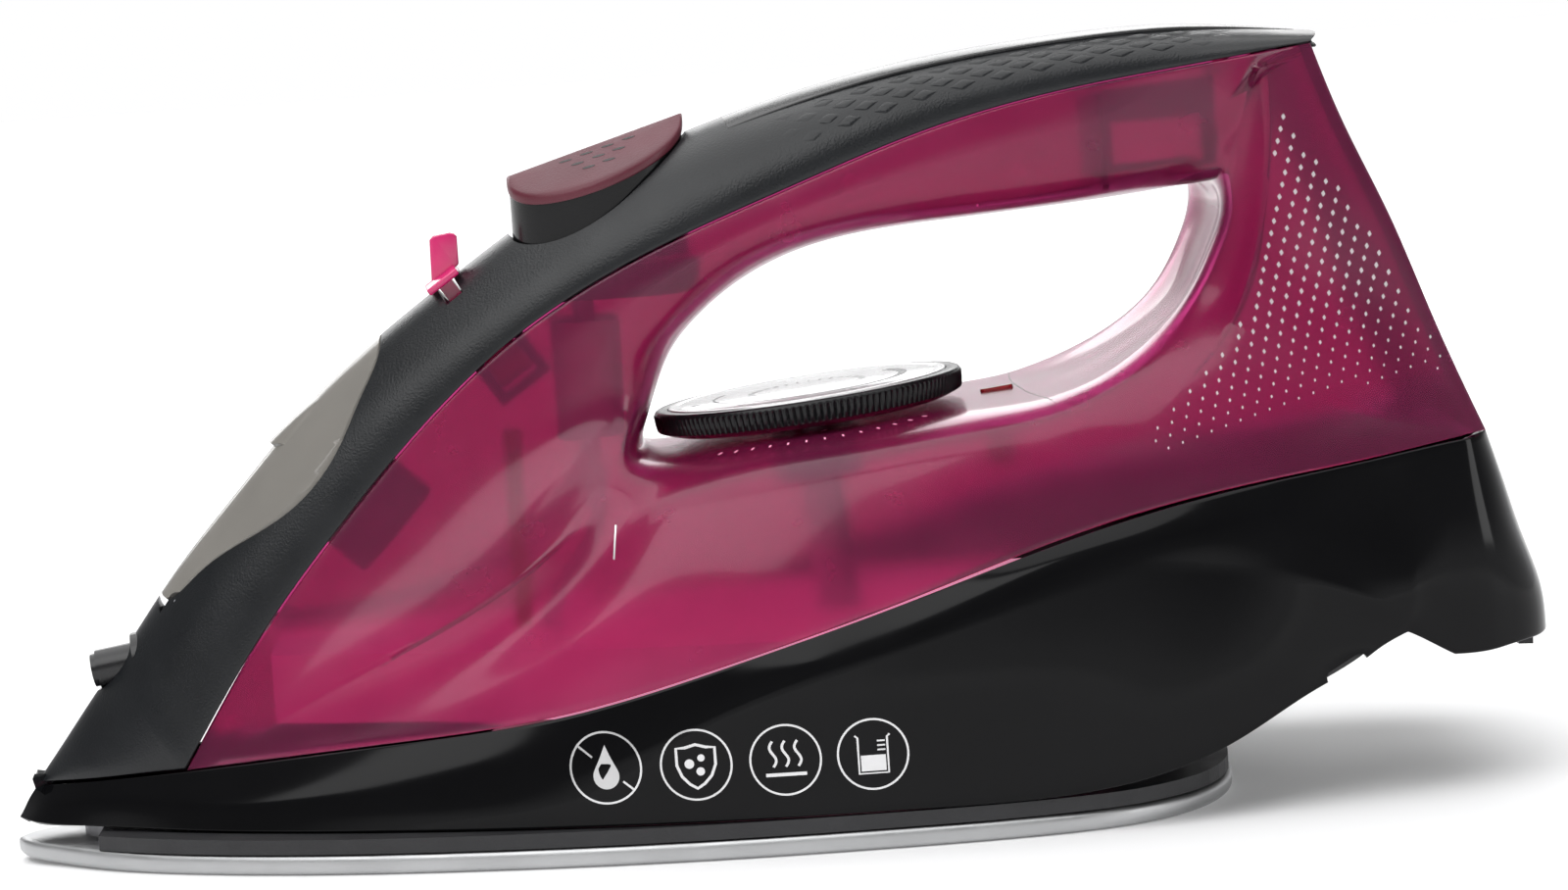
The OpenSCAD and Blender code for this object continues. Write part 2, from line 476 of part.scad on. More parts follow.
// The lid's frame: X runs up the lid from its hinge end, Z points out of it
LID_AT = [-114.3, 0, 48.3];
LID_TILT = -46.2;
LID = [[0, 0], [0.2, 4], [8, 7.2], [20, 10.8], [29, 12.8], [37.5, 13.2], [45.6, 12.3], [53, 10.2],
     [60.5, 6.2], [63.4, 0]];
LID_HINGE = [1.2, 0, -3.2];
LID_GAP = 0.4;
LID_T = 1.8;
module at_lid() {
    translate(LID_AT) rotate([0, LID_TILT, 0]) children();
}
function lid_outline(g) = let (h = spline([for (p = LID) [p.x, p.y, 0]], 2), m = 31.5, k = 1 + g / 31.5)
    concat([for (p = h) [m + (p.x - m) * k, -p.y * (1 + g / 13)]],
        [for (i = [len(h) - 2 : -1 : 1]) [m + (h[i].x - m) * k, h[i].y * (1 + g / 13)]]);
module lid_prism(g, low, high) {
    at_lid() translate([0, 0, low]) linear_extrude(high - low) polygon(lid_outline(g));
}
module hinge_bar(r, half) {
    at_lid() translate(LID_HINGE) rotate([90, 0, 0]) translate([0, 0, -half]) cylinder(r = r, h = 2 * half);
}

BUTTON_X = -27.85;
BUTTON_Z = 126.75;
BUTTON_LEAN = 16.1;
BUTTON_FALL = 25;
BUTTON_GAP = 0.3;
// Outline of one button, side is -1 for the near one and 1 for the far one
function button_outline(side, g) = [for (a = [0 : 10 : 180])
    [BUTTON_X + (button_len + g) * cos(a) * side, side * (BUTTON_GAP + (button_w + g) * pow(sin(a), 0.8))]];
module cover_openings() {
    for (s = [-1, 1]) translate([0, 0, 100]) linear_extrude(40) polygon(button_outline(s, 0.45));
    translate([BUTTON_X - button_len, -0.6, 100]) cube([2 * button_len, 1.2, 40]);
    lid_prism(LID_GAP, -26, 20);
    hinge_bar(4, 5);
    at_nozzle() translate([0, 0, -20]) cylinder(r = NOZZLE_R + 0.15, h = 40);
    at_lever() lever_sector(14, 26, 1.9, 29);
}
module nose_cover() {
    color("#26262a") resize([0, 0, 0]) difference() {
        cover_wall(wall);
        cover_openings();
    }
}
INLAY_X = [-4, 103];
INLAY_COLS = [4, 8];
module handle_inlay() {
    rows = [for (i = [0 : len(cover_ridge) - 1])
        if (cover_ridge[i].x > INLAY_X[0] && cover_ridge[i].x < INLAY_X[1]) i];
    function part(d) = let (g = offset_grid(cover_skin, d, false))
        [for (i = rows) [for (j = [INLAY_COLS[0] : INLAY_COLS[1]]) g[i][j]]];
    color("#1b1b1f") sheet(part(0.65), part(0.05));
}

// ---- spray nozzle ----
NOZZLE_AT = [-128.5, 0, 34.6];
NOZZLE_DOWN = 8;
NOZZLE_R = 3.7;
module at_nozzle() {
    translate(NOZZLE_AT) rotate([0, 90 - NOZZLE_DOWN, 0]) children();
}
module spray_nozzle() {
    color("#151517") at_nozzle() difference() {
        union() {
            cylinder(r = NOZZLE_R - 0.6, h = 1);
            translate([0, 0, 1]) cylinder(r = NOZZLE_R, h = 11);
        }
        translate([0, 0, -1]) cylinder(r = 0.6, h = 20, $fn = 16);
        translate([0, 0, -1]) cylinder(r = 1.6, h = 2);
        translate([0, 0, 8]) cylinder(r = 2.05, h = 6);
    }
}
module nozzle_ring() {
    color("#3a3a3e") at_nozzle() translate([0, 0, 8.2]) difference() {
        cylinder(r = 5.4, h = 1.6);
        translate([0, 0, -1]) cylinder(r = NOZZLE_R + 0.05, h = 4);
    }
}
PUMP_AT = [-32, 7.5, 72];
SPRAY_ROUTE = [[-32, 7.5, 71.9], [-33, 8, 66], [-40, 9, 56], [-56, 9.5, 46], [-75, 10, 41.5],
     [-88, 10.4, 40.3],
    [-97, 10.6, 39.6], [-103, 9.6, 38.6], [-110, 5, 37.4], [-117, 0, 36], [-119, 0, 35.9]];
module spray_tube() {
    color("whitesmoke") hose(spline(SPRAY_ROUTE, 2), 1.7);
}
STEAM_ROUTE = [[-32, -7.5, 71.9], [-32, -8, 64], [-33, -9, 54], [-38, -9, 46], [-41, -7, 40],
     [-42, -5, 37.5]];
module steam_tube() {
    color("whitesmoke") hose(spline(STEAM_ROUTE, 2), 1.7);
}

// ---- filler ----
MOUTH_S = 37;
MOUTH_R = 8.5;
FUNNEL_DEPTH = 14.5;
module filler_funnel() {
    color("#3a3a40") resize([0, 0, 0]) difference() {
        union() {
            intersection() {
                lid_prism(0.9, -FUNNEL_DEPTH - 1.5, 10);
                cover_core(wall + 0.3);
            }
            at_lid() translate([MOUTH_S, 0, -FUNNEL_DEPTH - 12]) cylinder(r = MOUTH_R + 1.5, h = 12);
        }
        lid_prism(-0.7, -FUNNEL_DEPTH, 12);
        at_lid() translate([-6, -5, -6.5]) cube([12, 10, 20]);
        at_lid() translate([MOUTH_S, 0, -40]) cylinder(r = MOUTH_R, h = 60);
    }
}
module filler_lid() {
    color("#4a4a50", 0.6) resize([0, 0, 0]) union() {
        difference() {
            intersection() {
                cover_wall(LID_T);
                lid_prism(0, -26, 20);
            }
            hinge_bar(1.95, 6);
        }
        at_lid() translate([34.4, -4, -0.2]) cube([1.6, 8, 3.2]);
    }
}
module lid_knuckle() {
    color("#4a4a50") difference() {
        hinge_bar(1.9, 3.6);
        hinge_bar(0.8 + run_gap, 6);
    }
}
module lid_hinge_pin() {
    color("silver") hinge_bar(0.8, 6.5);
}

// ---- buttons and pumps ----
// Everything above the plane that lies d under the buttons' top
module above_button(side, d) {
    translate([BUTTON_X, 0, BUTTON_Z]) rotate([-side * BUTTON_FALL, -BUTTON_LEAN, 0])
        translate([-60, -60, -d]) cube([120, 120, 60]);
}
CAP_T = 2.2;
FRAME_Z = 98;
FRAME_GROW = 1.5;
FRAME_FLOOR = 2;
SLEEVE_LOW = FRAME_Z + FRAME_FLOOR + button_travel + 1;
module button_cap(side) {
    difference() {
        translate([0, 0, 100]) linear_extrude(40) polygon(button_outline(side, 0));
        above_button(side, 0);
        difference() {
            translate([-100, -50, 90]) cube([150, 100, 60]);
            above_button(side, CAP_T);
        }
    }
}
module button_sleeve(side) {
    difference() {
        translate([0, 0, SLEEVE_LOW]) linear_extrude(30) polygon(button_outline(side, -0.4));
        above_button(side, CAP_T);
        difference() {
            translate([0, side * 0.8, SLEEVE_LOW - 1]) linear_extrude(30)
                polygon(button_outline(side, -2.2));
            above_button(side, CAP_T + 1.6);
        }
    }
}
module button_frame() {
    color("#2e2e33") difference() {
        translate([0, 0, FRAME_Z]) linear_extrude(6) {
            for (s = [-1, 1]) polygon(button_outline(s, FRAME_GROW));
            translate([BUTTON_X - button_len - FRAME_GROW, -1]) square([2 * (button_len + FRAME_GROW), 2]);
        }
        translate([0, 0, FRAME_Z + FRAME_FLOOR]) linear_extrude(9) {
            for (s = [-1, 1]) polygon(button_outline(s, 0.6));
            translate([BUTTON_X - button_len, -0.7]) square([2 * button_len, 1.4]);
        }
        for (s = [-1, 1]) translate([PUMP_AT.x, s * PUMP_AT.y, 90])
            cylinder(r = PISTON_ROD_R + run_gap, h = 20);
    }
}
PISTON_R = 5;
PISTON_ROD_R = 2;
PUMP_H = 22;
PISTON_Z = 85;
module piston(side) {
    translate([PUMP_AT.x, side * PUMP_AT.y, 0]) translate([0, 0, PISTON_Z]) cylinder(r = PISTON_R, h = 4);
    difference() {
        translate([PUMP_AT.x, side * PUMP_AT.y, PISTON_Z + 3]) cylinder(r = PISTON_ROD_R, h = 40);
        above_button(side, CAP_T + 1.6);
    }
}
module pump_body(side) {
    translate([PUMP_AT.x, side * PUMP_AT.y, PUMP_AT.z]) difference() {
        cylinder(r = 6.4, h = PUMP_H);
        translate([0, 0, 2]) cylinder(r = PISTON_R + run_gap, h = PUMP_H);
    }
}
SPRING_TURNS = 5;
SPRING_R = 3.8;
SPRING_WIRE = 0.45;
module coil(side) {
    low = PUMP_AT.z + 2 + SPRING_WIRE + 0.05;
    high = PISTON_Z - SPRING_WIRE - 0.05;
    n = SPRING_TURNS * 12;
    translate([PUMP_AT.x, side * PUMP_AT.y, 0]) hose([for (i = [0 : n])
        [SPRING_R * cos(i * 30), SPRING_R * sin(i * 30), low + (high - low) * i / n]], SPRING_WIRE);
}
module steam_button_cap() {
    color("#5a1a2c") button_cap(-1);
}
module steam_button_sleeve() {
    color("#141416") button_sleeve(-1);
}
module steam_piston() {
    color("white") piston(-1);
}
module steam_spring() {
    color("silver") coil(-1);
}
module steam_pump_body() {
    color("lightgray") pump_body(-1);
}
module spray_button_cap() {
    color("#5a1a2c") button_cap(1);
}
module spray_button_sleeve() {
    color("#141416") button_sleeve(1);
}
module spray_piston() {
    color("white") piston(1);
}
module spray_spring() {
    color("silver") coil(1);
}
module spray_pump_body() {
    color("lightgray") pump_body(1);
}

// ---- steam lever ----
LEVER_TOP = [-57.5, 0, 102.6];
LEVER_TILT = -34;
LEVER_R = 19;
module at_lever() {
    translate(LEVER_TOP) rotate([0, LEVER_TILT, 0]) translate([0, 0, -LEVER_R]) children();
}
// A sector of a tube about the lever's axis
module lever_sector(r0, r1, half, angle) {
    rotate([0, 90, 0]) rotate([0, 0, 180 - angle]) rotate_extrude(angle = 2 * angle)
        translate([r0, -half]) square([r1 - r0, 2 * half]);
}
module steam_lever() {
    color("#c2185b") difference() {
        union() {
            at_lever() {
                rotate([0, 90, 0]) translate([0, 0, -3.5]) cylinder(r = 3.6, h = 7);
                translate([-1.4, -2.4, 2.5]) cube([2.8, 4.8, LEVER_R - 2]);
                lever_sector(LEVER_R + 0.4, LEVER_R + 1.7, 3.4, 17);
            }
            difference() {
                translate([-60, -1.4, 100]) cube([5.5, 2.8, 11.8]);
                at_lever() rotate([0, 90, 0]) translate([0, 0, -20]) cylinder(r = LEVER_R + 0.5, h = 40);
            }
        }
        at_lever() rotate([0, 90, 0]) translate([0, 0, -10]) cylinder(r = 1.5 + run_gap, h = 20);
    }
}
module lever_pivot_pin() {
    color("silver") at_lever() rotate([0, 90, 0]) translate([0, 0, -5.6]) cylinder(r = 1.5, h = 11.2);
}
module lever_bracket() {
    color("#2e2e33") at_lever() difference() {
        union() {
            for (s = [-1, 1]) translate([s * 4.75 - 0.85, -4, -5]) cube([1.7, 8, 9]);
            translate([-5.6, -4, -6]) cube([11.2, 8, 1.6]);
        }
        rotate([0, 90, 0]) translate([0, 0, -10]) cylinder(r = 1.5, h = 20);
    }
}
ROD_Z = [19.3, 74];
module steam_valve_rod() {
    color("whitesmoke") translate([VALVE_X, 0, ROD_Z[0]]) union() {
        cylinder(r = 1, h = 3);
        translate([0, 0, 2]) cylinder(r = 1.7, h = ROD_Z[1] - ROD_Z[0] - 2);
    }
}

// ---- temperature control ----
FACE_R = 26.4;
FACE_T = 1;
module temperature_dial() {
    color("#1a1a1c") at_dial() difference() {
        rotate_extrude() polygon([[0, -dial_h], [dial_r - 3.6, -dial_h], [dial_r - 0.6, -dial_h + 1.8],
            [dial_r, -dial_h + 2.6], [dial_r, -0.9], [dial_r - 0.8, -0.2], [0, -0.2]]);
        translate([0, 0, -0.2 - FACE_T]) cylinder(r = FACE_R, h = 5);
        translate([0, 0, -20]) cylinder(r = SHAFT_R, h = 18);
    }
}
module dial_face() {
    color("whitesmoke") at_dial() translate([0, 0, -0.2 - FACE_T]) cylinder(r = FACE_R, h = FACE_T + 0.2);
}
SHAFT_LOW = -52;
module dial_shaft() {
    color("silver") at_dial() translate([0, 0, SHAFT_LOW]) cylinder(r = SHAFT_R, h = -2 - SHAFT_LOW);
}
module dial_bushing() {
    color("#2e2e33") at_dial() translate([0, 0, -16]) difference() {
        cylinder(r = BUSH_R, h = 10);
        translate([0, 0, -1]) cylinder(r = SHAFT_R + run_gap, h = 14);
    }
}
module thermostat() {
    color("tan") at_dial() difference() {
        union() {
            translate([-14, -11, -62.5]) cube([28, 22, 7]);
            translate([0, 0, -56]) cylinder(r = 8, h = 8);
        }
        translate([0, 0, -52.3]) cylinder(r = SHAFT_R + run_gap, h = 20);
    }
}
module pilot_lens() {
    color("tomato") lens_shape(0, 3);
}
module pilot_lamp() {
    color("orange") translate([LENS_AT.x, LENS_AT.y, LENS_AT.z - 14]) cylinder(r = 2.5, h = 9);
}

soleplate();
heating_casting();
heating_element();
chamber_gasket();
chamber_cover();
steam_valve_seat();
thermal_fuse();
sole_screws();
heat_shield();
lower_housing();
base_cover();
rear_cover();
dock_socket();
dock_contacts();
terminal_block();
wires();
housing_screws();
water_tank();
tank_floor();
nose_cover();
handle_inlay();
spray_nozzle();
nozzle_ring();
spray_tube();
steam_tube();
filler_funnel();
filler_lid();
lid_knuckle();
lid_hinge_pin();
button_frame();
steam_button_cap();
steam_button_sleeve();
steam_piston();
steam_spring();
steam_pump_body();
spray_button_cap();
spray_button_sleeve();
spray_piston();
spray_spring();
spray_pump_body();
steam_lever();
lever_pivot_pin();
lever_bracket();
steam_valve_rod();
temperature_dial();
dial_face();
dial_shaft();
dial_bushing();
thermostat();
pilot_lens();
pilot_lamp();
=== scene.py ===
"""Cordless steam iron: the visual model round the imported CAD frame.

Tables are in millimetres, and objects in metres.
"""

import json
import math

import bmesh
import bpy
import numpy as np
from mathutils import Matrix, Vector
from mathutils.bvhtree import BVHTree
from mathutils.geometry import tessellate_polygon

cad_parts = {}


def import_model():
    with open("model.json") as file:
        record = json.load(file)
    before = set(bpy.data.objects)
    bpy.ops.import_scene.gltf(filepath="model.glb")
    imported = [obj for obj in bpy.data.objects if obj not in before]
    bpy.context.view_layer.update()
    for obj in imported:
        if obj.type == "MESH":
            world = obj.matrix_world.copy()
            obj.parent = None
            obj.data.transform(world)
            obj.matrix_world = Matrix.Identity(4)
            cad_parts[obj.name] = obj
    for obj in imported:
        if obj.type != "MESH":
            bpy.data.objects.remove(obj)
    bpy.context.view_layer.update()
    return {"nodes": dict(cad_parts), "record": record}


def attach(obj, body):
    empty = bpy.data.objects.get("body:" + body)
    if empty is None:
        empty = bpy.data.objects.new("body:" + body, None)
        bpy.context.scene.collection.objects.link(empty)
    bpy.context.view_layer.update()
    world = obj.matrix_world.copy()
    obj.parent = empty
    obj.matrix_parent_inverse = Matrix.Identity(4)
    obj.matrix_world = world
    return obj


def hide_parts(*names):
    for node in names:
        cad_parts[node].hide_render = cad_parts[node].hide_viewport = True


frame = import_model()
MM = 0.001


# ---- curves ----
def smooth_tangents(p, closed=False):
    """Tangents by chord length of a curve through p that bends without a break."""
    m = len(p)
    h = np.maximum(np.linalg.norm(np.roll(p, -1, axis=0) - p, axis=1), 1e-3)
    a = np.zeros((m, m))
    b = np.zeros_like(p)
    for i in range(m):
        if not closed and i in (0, m - 1):
            k, step = (0, 1) if i == 0 else (m - 2, -1)
            a[i, i] = 2
            a[i, i + step] = 1
            b[i] = 3 * (p[k + 1] - p[k]) / h[k]
            continue
        before, after = (i - 1) % m, (i + 1) % m
        a[i, before] += h[i]
        a[i, i] += 2 * (h[before] + h[i])
        a[i, after] += h[before]
        b[i] = 3 * (h[i] / h[before] * (p[i] - p[before]) + h[before] / h[i] * (p[after] - p[i]))
    return np.linalg.solve(a, b)


def split_tangents(p, corners, closed):
    """The tangents that leave and reach each point of a curve that breaks at the corners."""
    m = len(p)
    if closed and not corners:
        t = smooth_tangents(p, True)
        return t, t
    leave, reach = np.zeros_like(p), np.zeros_like(p)
    stops = sorted(corners) if closed else sorted(set(corners) | {0, m - 1})
    ends = stops[1:] + ([stops[0] + m] if closed else [])
    for first, last in zip(stops, ends):
        index = [k % m for k in range(first, last + 1)]
        t = smooth_tangents(p[index])
        leave[index[:-1]] = t[:-1]
        reach[index[1:]] = t[1:]
    return leave, reach


def spline(points, steps, sharp=None, closed=False):
    """A curve through points, steps a span. sharp runs from 0, smooth, to 1, a corner, at each point."""
    p = np.asarray(points, float)
    m = len(p)
    sharp = np.zeros(m) if sharp is None else np.asarray(sharp, float)
    leave, reach = split_tangents(p, [i for i in range(m) if sharp[i] >= 1], closed)
    if ((sharp > 0) & (sharp < 1)).any():
        leave_c, reach_c = split_tangents(p, [i for i in range(m) if sharp[i] > 0], closed)
        w = sharp[:, None]
        leave, reach = leave * (1 - w) + leave_c * w, reach * (1 - w) + reach_c * w
    spans = m if closed else m - 1
    counts = [steps] * spans if isinstance(steps, int) else steps
    out = []
    for i in range(spans):
        a, b = p[i], p[(i + 1) % m]
        d = max(np.linalg.norm(b - a), 1e-3)
        t = (np.arange(counts[i]) / counts[i])[:, None]
        out.append((2 * t**3 - 3 * t**2 + 1) * a + (t**3 - 2 * t**2 + t) * d * leave[i]
                   + (3 * t**2 - 2 * t**3) * b + (t**3 - t**2) * d * reach[(i + 1) % m])
    if not closed:
        out.append(p[-1:])
    return np.concatenate(out)


def both_sides(half):
    """A section from one seam over the middle to the other, from its far half."""
    return np.concatenate([half * (1, -1, 1), half[-2::-1]])


def normals(g, loop):
    """Unit normals of a grid of points."""
    du = np.roll(g, -1, axis=0) - np.roll(g, 1, axis=0) if loop else np.gradient(g, axis=0)
    n = np.cross(du, np.gradient(g, axis=1))
    return n / np.maximum(np.linalg.norm(n, axis=2, keepdims=True), 1e-9)


# ---- meshes ----
SHARP = 38


def add_mesh(name, verts, faces, place=None, sharp=SHARP):
    """A closed, smooth-shaded object from millimetres, with its edges over the sharp angle kept crisp."""
    mesh = bpy.data.meshes.new(name)
    mesh.from_pydata([tuple(v) for v in np.asarray(verts, float) * MM], [], faces)
    bm = bmesh.new()
    bm.from_mesh(mesh)
    bmesh.ops.remove_doubles(bm, verts=bm.verts, dist=1e-7)
    bmesh.ops.dissolve_degenerate(bm, edges=bm.edges, dist=1e-7)
    bmesh.ops.recalc_face_normals(bm, faces=bm.faces)
    bm.to_mesh(mesh)
    bm.free()
    if place is not None:
        mesh.transform(place)
    finish_mesh(mesh, sharp)
    obj = bpy.data.objects.new(name, mesh)
    bpy.context.scene.collection.objects.link(obj)
    return obj


def finish_mesh(mesh, sharp=SHARP):
    mesh.shade_smooth()
    mesh.set_sharp_from_angle(angle=math.radians(sharp))


def bake(obj, sharp=SHARP):
    """Applies the object's modifiers."""
    graph = bpy.context.evaluated_depsgraph_get()
    mesh = bpy.data.meshes.new_from_object(obj.evaluated_get(graph))
    old = obj.data
    obj.modifiers.clear()
    obj.data = mesh
    bpy.data.meshes.remove(old)
    finish_mesh(mesh, sharp)


def cut(obj, *tools, mode="DIFFERENCE", sharp=SHARP):
    """Cuts the tools out of obj, or keeps what they share with it."""
    for tool in tools:
        change = obj.modifiers.new("cut", "BOOLEAN")
        change.operation = mode
        change.solver = "EXACT"
        change.object = tool
    bake(obj, sharp)
    for tool in tools:
        bpy.data.objects.remove(tool)
    return obj


def shift(x, y, z):
    return Matrix.Translation(Vector((x, y, z)) * MM)


def turn(angle, axis):
    return Matrix.Rotation(math.radians(angle), 4, axis)


def tube_faces(rows, columns, loop):
    """Quads between closed rings of points, one ring a row."""
    return [(i * columns + j, i * columns + (j + 1) % columns,
             (i + 1) % rows * columns + (j + 1) % columns, (i + 1) % rows * columns + j)
            for i in range(rows if loop else rows - 1) for j in range(columns)]


RIM = 0.42
RIM_ANGLES = [0, 30, 60, 90]


def rim_arc(outer, beside, inner):
    """Points of a rounded edge for each row, from the outer skin round to the wall's edge face."""
    a, b = beside - outer, inner - outer
    la, lb = np.linalg.norm(a, axis=1, keepdims=True), np.linalg.norm(b, axis=1, keepdims=True)
    a, b = a / np.maximum(la, 1e-6), b / np.maximum(lb, 1e-6)
    r = np.minimum(RIM, np.minimum(la, lb) * 0.45)
    return [outer + r * (a + b) - r * (b * math.cos(math.radians(q)) + a * math.sin(math.radians(q)))
            for q in RIM_ANGLES]


def shell(name, g, wall, out=1, loop=False, level_edges=True):
    """A wall of even thickness under a grid of points, rounded at its first and last columns."""
    inner = g - wall * out * normals(g, loop)
    if level_edges:
        for j in (0, -1):
            y = g[:, j, 1]
            inner[:, j] = g[:, j]
            inner[:, j, 1] = np.sign(y) * np.maximum(np.abs(y) - wall, 0.2)
    ring = [g[:, j] for j in range(1, g.shape[1] - 1)]
    ring += rim_arc(g[:, -1], g[:, -2], inner[:, -1])
    ring += [inner[:, j] for j in range(g.shape[1] - 1, -1, -1)]
    ring += rim_arc(g[:, 0], g[:, 1], inner[:, 0])[::-1]
    rings = np.stack(ring, axis=1)
    rows, columns = rings.shape[:2]
    faces = tube_faces(rows, columns, loop)
    if not loop:
        for i in (0, rows - 1):
            flat = tessellate_polygon([[Vector(v) for v in rings[i]]])
            faces += [tuple(i * columns + k for k in f) for f in flat]
    return add_mesh(name, rings.reshape(-1, 3), faces)


def capped_tube(rows, columns):
    """Quads between rings of points, and one flat face over each end."""
    last = (rows - 1) * columns
    return tube_faces(rows, columns, False) + [tuple(range(columns)), tuple(range(last, last + columns))]


def stack(name, rings, place=None, sharp=SHARP):
    """A solid through rings of points of equal length, closed by fans of quads over the first and last."""
    rings = np.asarray(rings, float)
    rows, columns = rings.shape[:2]
    faces = tube_faces(rows, columns, False)
    half = columns // 2
    for base in (0, (rows - 1) * columns):
        for k in range(half - 1):
            faces.append((base + k, base + k + 1, base + columns - 2 - k, base + columns - 1 - k))
        if columns % 2:
            faces.append((base + half - 1, base + half, base + half + 1))
    return add_mesh(name, rings.reshape(-1, 3), faces, place, sharp)


def prism(outline, low, high, place=None):
    ring = np.asarray(outline, float)
    rings = [np.column_stack([ring, np.full(len(ring), z)]) for z in (low, high)]
    verts = np.concatenate(rings)
    n = len(ring)
    faces = tube_faces(2, n, False) + [tuple(range(n)), tuple(range(2 * n - 1, n - 1, -1))]
    return add_mesh("tool", verts, faces, place)


def lathe(name, profile, count, place=None, wave=None, sharp=SHARP):
    """A solid of revolution. profile lists (radius, height), and wave(k, angles) changes ring k's radius."""
    angles = np.arange(count) * 2 * math.pi / count
    rings = []
    for k, (r, z) in enumerate(profile):
        rr = np.full(count, max(float(r), 1e-5)) + (wave(k, angles) if wave else 0)
        rings.append(np.column_stack([rr * np.cos(angles), rr * np.sin(angles), np.full(count, float(z))]))
    return add_mesh(name, np.concatenate(rings), capped_tube(len(rings), count), place, sharp)


def rod_tool(r, low, high, place, sides=48):
    q = np.arange(sides) * 2 * math.pi / sides
    return prism(np.column_stack([r * np.cos(q), r * np.sin(q)]), low, high, place)


def join(name, objects):
    """One object from several."""
    bm = bmesh.new()
    for o in objects:
        bm.from_mesh(o.data)
    mesh = bpy.data.meshes.new(name)
    bm.to_mesh(mesh)
    bm.free()
    finish_mesh(mesh)
    for o in objects:
        bpy.data.objects.remove(o)
    obj = bpy.data.objects.new(name, mesh)
    bpy.context.scene.collection.objects.link(obj)
    return obj


def bevel(obj, width, angle=35, segments=3):
    change = obj.modifiers.new("edges", "BEVEL")
    change.width = width * MM
    change.segments = segments
    change.limit_method = "ANGLE"
    change.angle_limit = math.radians(angle)


def box_outline(x0, x1, y0, y1):
    return [[x0, y0], [x1, y0], [x1, y1], [x0, y1]]


# ---- materials ----
class Nodes:
    """A material's node tree, with short calls to add to it."""

    def __init__(self, name):
        self.material = bpy.data.materials.new(name)
        self.material.use_nodes = True
        self.tree = self.material.node_tree
        self.shader = next(n for n in self.tree.nodes if n.type == "BSDF_PRINCIPLED")
        self.place = self.add("ShaderNodeTexCoord").outputs["Object"]

    def add(self, kind, links=(), **values):
        node = self.tree.nodes.new(kind)
        for key, value in values.items():
            if hasattr(node, key):
                setattr(node, key, value)
            else:
                node.inputs[key.replace("_", " ").title() if key.islower() else key].default_value = value
        for socket, source in dict(links).items():
            self.tree.links.new(source, node.inputs[socket])
        return node

    def noise(self, scale, detail=3, stretch=None):
        place = self.place
        if stretch:
            mapping = self.add("ShaderNodeMapping", {"Vector": place})
            mapping.inputs["Scale"].default_value = stretch
            place = mapping.outputs[0]
        node = self.add("ShaderNodeTexNoise", {"Vector": place})
        node.inputs["Scale"].default_value = scale
        node.inputs["Detail"].default_value = detail
        return node.outputs["Fac"]

    def spread(self, source, low, high, start=0.3, end=0.7):
        """source between start and end, mapped to low and high."""
        node = self.add("ShaderNodeMapRange", {"Value": source})
        for key, value in (("From Min", start), ("From Max", end), ("To Min", low), ("To Max", high)):
            node.inputs[key].default_value = value
        return node.outputs["Result"]

    def mix(self, factor, a, b):
        node = self.add("ShaderNodeMix", data_type="RGBA")
        self.tree.links.new(factor, node.inputs[0])
        for socket, colour in ((node.inputs[6], a), (node.inputs[7], b)):
            if isinstance(colour, tuple):
                socket.default_value = (*colour, 1)
            else:
                self.tree.links.new(colour, socket)
        return node.outputs[2]

    def set(self, socket, value):
        target = self.shader.inputs[socket]
        if isinstance(value, bpy.types.NodeSocket):
            self.tree.links.new(value, target)
        else:
            target.default_value = (*value, 1) if isinstance(value, tuple) else value

    def set_more(self, sockets):
        for socket, value in sockets.items():
            self.set(socket.replace("_", " "), value)

    def tone(self, colour, vary, scale, detail):
        """A base colour that drifts in patches, by vary either way."""
        dark = tuple(c * (1 - vary) for c in colour)
        light = tuple(min(1, c * (1 + vary)) for c in colour)
        self.set("Base Color", self.mix(self.spread(self.noise(scale, detail), 0, 1), dark, light))

    def bump(self, source, strength, distance=0.0002):
        node = self.add("ShaderNodeBump", {"Height": source})
        node.inputs["Strength"].default_value = strength
        node.inputs["Distance"].default_value = distance
        self.set("Normal", node.outputs[0])


def plastic(name, colour, rough=0.35, grain=0.0, grain_scale=1800, vary=0.12, coat=0.0, metal=0.0,
            stretch=None, **more):
    """A moulded or metal finish: slight change of tone, uneven roughness and, where asked for, a grain."""
    n = Nodes(name)
    n.tone(colour, vary, 60, 4)
    n.set("Roughness", n.spread(n.noise(140, 5), rough * 0.88, min(1, rough * 1.14)))
    if grain:
        n.bump(n.noise(grain_scale, 2, stretch), grain)
    n.set("Metallic", metal)
    n.set("Coat Weight", coat)
    n.set("Coat Roughness", 0.03)
    n.set_more(more)
    return n.material


def tinted(name, colour, rough, clear, vary=0.06, cloud=45, coat=1.0, **more):
    """A clear tinted moulding, a little frosted inside."""
    n = Nodes(name)
    n.tone(colour, vary, cloud, 3)
    n.set("Roughness", n.spread(n.noise(90, 4), rough * 0.85, rough * 1.15))
    n.set("Transmission Weight", clear)
    n.set("IOR", 1.3)
    n.set("Coat Weight", coat)
    n.set("Coat Roughness", 0.08)
    n.bump(n.noise(420, 2), 0.01)
    n.set_more(more)
    return n.material


